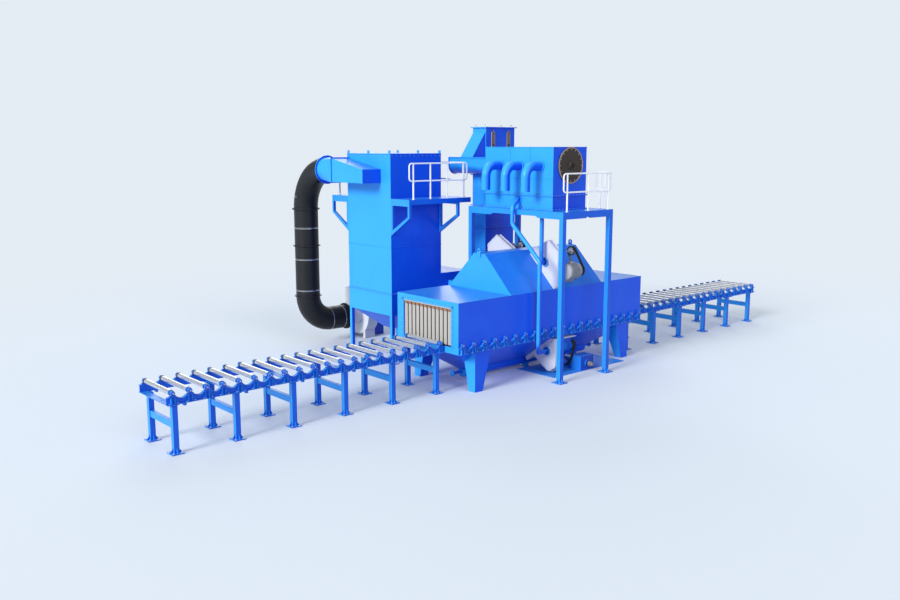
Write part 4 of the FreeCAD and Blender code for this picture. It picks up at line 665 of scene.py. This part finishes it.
def dress_separator():
    """Flange bolts, the drum end's rim and hub, collar bolts of the vents and sheet seams."""
    bolts, tan, black, seams = bmesh.new(), bmesh.new(), bmesh.new(), bmesh.new()
    for z in (4.860, 5.255):
        bolt_frame(bolts, -0.612, 0.836, -1.569, 1.201, z, 0.012, 0.14)
    centre = (0.112, -1.578, 6.089)
    add_ring(tan, centre, (0, -1, 0), 0.480, 0.512, 0.012, 72)
    bolt_circle(bolts, centre, (0, -1, 0), 0.445, 16, 0.013)
    nut = [(0, 0), (0.070, 0), (0.070, 0.034), (0.055, 0.042), (0, 0.042)]
    add_turned(black, (0.112, -1.636, 6.089), (0, -1, 0), nut, 6)
    bolt_circle(black, centre, (0, -1, 0), 0.130, 6, 0.014)
    for y in (0.55, -0.25, -1.05):
        bolt_circle(bolts, (-0.611, y, 6.066), (-1, 0, 0), 0.148, 8, 0.010)
    for y in (0.15, -0.65):
        add_box(seams, (-0.597, y - 0.010, 5.255), (-0.591, y + 0.010, 6.590))
    add_box(seams, (-0.600, -1.556, 6.583), (0.824, 1.188, 6.607))
    add_box(seams, (-0.600, -1.556, 5.700), (-0.585, 1.188, 5.716))
    new_piece("separator_bolts", bolts, zinc)
    new_piece("drum_rim", tan, worn_tan)
    new_piece("drum_hub", black, black_rubber)
    new_piece("separator_seams", seams, housing_blue)


def dress_collector():
    """Joint bolts, a lid edge with bolts and sheet seams."""
    bolts, seams = bmesh.new(), bmesh.new()
    bolt_frame(bolts, -2.998, -0.982, 2.762, 5.018, 2.184, 0.013, 0.15)
    for z in (3.580, 6.380):
        add_box(seams, (-2.990, 2.770, z), (-0.990, 5.010, z + 0.018))
    bolt_row(bolts, (-2.990, 2.84, 6.340), (-2.990, 4.94, 6.340), (-1, 0, 0), 0.010, 0.17)
    bolt_row(bolts, (-2.92, 2.780, 6.340), (-1.06, 2.780, 6.340), (0, -1, 0), 0.010, 0.17)
    new_piece("collector_bolts", bolts, zinc)
    new_piece("collector_seams", seams, housing_blue)


def dress_duct():
    """Bright seam bands on the duct's straight runs."""
    bm = bmesh.new()
    for z in (1.86, 2.90, 3.94, 4.98):
        add_ring(bm, (-3.320, 6.940, z), (0, 0, 1), 0.380, 0.402, 0.014, 64)
        add_ring(bm, (-3.320, 6.940, z + 0.034), (0, 0, 1), 0.380, 0.399, 0.006, 64)
    for x in (-2.55, -2.05):
        add_ring(bm, (x, 6.940, 0.800), (1, 0, 0), 0.380, 0.402, 0.012, 64)
    new_piece("duct_bands", bm, zinc)


def dress_screw_drive():
    """Coupling discs on the screw's shaft, flange bolts and a lid edge on the gear box."""
    discs, bolts, edge = bmesh.new(), bmesh.new(), bmesh.new()
    for y, radius, depth in ((-1.700, 0.075, 0.022), (-1.734, 0.075, 0.022), (-1.790, 0.050, 0.040)):
        add_rod(discs, (0.99, y, 0.2055), (0.99, y - depth, 0.2055), radius, 28)
    bolt_circle(bolts, (0.99, -1.756, 0.2055), (0, -1, 0), 0.056, 6, 0.009)
    bolt_frame(bolts, 0.715, 1.265, -1.605, -1.255, 0.442, 0.012, 0.12)
    add_box(edge, (0.690, -1.630, 0.418), (1.290, -1.230, 0.436))
    new_piece("screw_coupling", discs, worn_tan)
    new_piece("screw_bolts", bolts, zinc)
    new_piece("screw_box_edge", edge, deep_blue)


def dress_chamber():
    """Raised sheet seams and edge flanges on the chamber's walls and roof."""
    bm, bolts = bmesh.new(), bmesh.new()
    for side in (-1, 1):
        y0, y1 = sorted((side * 1.302, side * 1.310))
        add_box(bm, (-3.916, y0, 2.524), (3.916, y1, 2.538))
        x0, x1 = sorted((side * 3.912, side * 3.920))
        for y in (-1.06, 1.06):
            add_box(bm, (x0, y - 0.03, 1.312), (x1, y + 0.03, 2.42))
        add_box(bm, (x0, -1.09, 2.376), (x1, 1.09, 2.436))
        bolt_row(bolts, (side * 3.920, -1.06, 2.406), (side * 3.920, 1.06, 2.406), (side, 0, 0), 0.010, 0.17)
        for y in (-1.06, 1.06):
            bolt_row(bolts, (side * 3.920, y, 1.40), (side * 3.920, y, 2.25), (side, 0, 0), 0.010, 0.17)
    new_piece("chamber_seams", bm, housing_blue)
    new_piece("chamber_bolts", bolts, zinc)


dress_rollers()
dress_bearings()
dress_feet()
dress_curtains()
dress_wheels()
dress_drives()
dress_elevator()
dress_separator()
dress_collector()
dress_duct()
dress_screw_drive()
dress_chamber()


def make_stage():
    """A pale floor that fades into the backdrop's colour away from the machine."""
    bm = bmesh.new()
    bmesh.ops.create_grid(bm, x_segments=1, y_segments=1, size=150.0)
    bmesh.ops.translate(bm, vec=(0, 0, -0.004), verts=bm.verts)
    mesh = bpy.data.meshes.new("floor")
    bm.to_mesh(mesh)
    bm.free()
    floor = bpy.data.objects.new("floor", mesh)
    bpy.context.scene.collection.objects.link(floor)
    material = bpy.data.materials.new("pale_floor")
    material.use_nodes = True
    tree = material.node_tree
    tree.nodes.remove(tree.nodes["Principled BSDF"])
    out = tree.nodes["Material Output"]
    lit = add_node(tree, "ShaderNodeBsdfDiffuse", Color=(*BACKGROUND, 1))
    glow = add_node(tree, "ShaderNodeEmission", Color=(*BACKGROUND, 1), Strength=1.0)
    place = tree.nodes.new("ShaderNodeTexCoord")
    length = add_node(tree, "ShaderNodeVectorMath", operation="LENGTH")
    join(tree, place, "Object", length, 0)
    fade = add_node(tree, "ShaderNodeMapRange", From_Min=13.0, From_Max=30.0)
    fade.interpolation_type = "SMOOTHSTEP"
    join(tree, length, "Value", fade, "Value")
    mix = tree.nodes.new("ShaderNodeMixShader")
    join(tree, fade, "Result", mix, "Fac")
    tree.links.new(lit.outputs[0], mix.inputs[1])
    tree.links.new(glow.outputs[0], mix.inputs[2])
    tree.links.new(mix.outputs[0], out.inputs["Surface"])
    mesh.materials.append(material)

    world = bpy.data.worlds.new("studio")
    bpy.context.scene.world = world
    world.use_nodes = True
    tree = world.node_tree
    seen = add_node(tree, "ShaderNodeBackground", Color=(*BACKGROUND, 1), Strength=1.0)
    light = tree.nodes["Background"]
    light.inputs["Color"].default_value = (0.86, 0.92, 1.0, 1)
    light.inputs["Strength"].default_value = 0.45
    path = tree.nodes.new("ShaderNodeLightPath")
    pick = tree.nodes.new("ShaderNodeMixShader")
    join(tree, path, "Is Camera Ray", pick, "Fac")
    tree.links.new(light.outputs[0], pick.inputs[1])
    tree.links.new(seen.outputs[0], pick.inputs[2])
    tree.links.new(pick.outputs[0], tree.nodes["World Output"].inputs["Surface"])


def add_sun(name, direction, strength, angle):
    lamp = bpy.data.lights.new(name, "SUN")
    lamp.energy = strength
    lamp.angle = math.radians(angle)
    sun = bpy.data.objects.new(name, lamp)
    sun.rotation_euler = Vector(direction).to_track_quat("-Z", "Y").to_euler()
    bpy.context.scene.collection.objects.link(sun)


def add_camera():
    lens = bpy.data.cameras.new("camera")
    lens.sensor_width = 36.0
    lens.lens = CAMERA_LENS
    lens.clip_end = 500.0
    camera = bpy.data.objects.new("camera", lens)
    camera.location = CAMERA_PLACE
    camera.rotation_euler = [math.radians(a) for a in CAMERA_TURN]
    bpy.context.scene.collection.objects.link(camera)
    bpy.context.scene.camera = camera


make_stage()
add_sun("key", (0.90, 0.10, -0.42), 2.6, 20.0)
add_sun("fill", (0.10, 0.90, -0.42), 0.95, 40.0)
add_sun("back", (-0.50, -0.75, -0.45), 0.9, 40.0)
add_camera()
bpy.context.scene.view_settings.view_transform = "Standard"
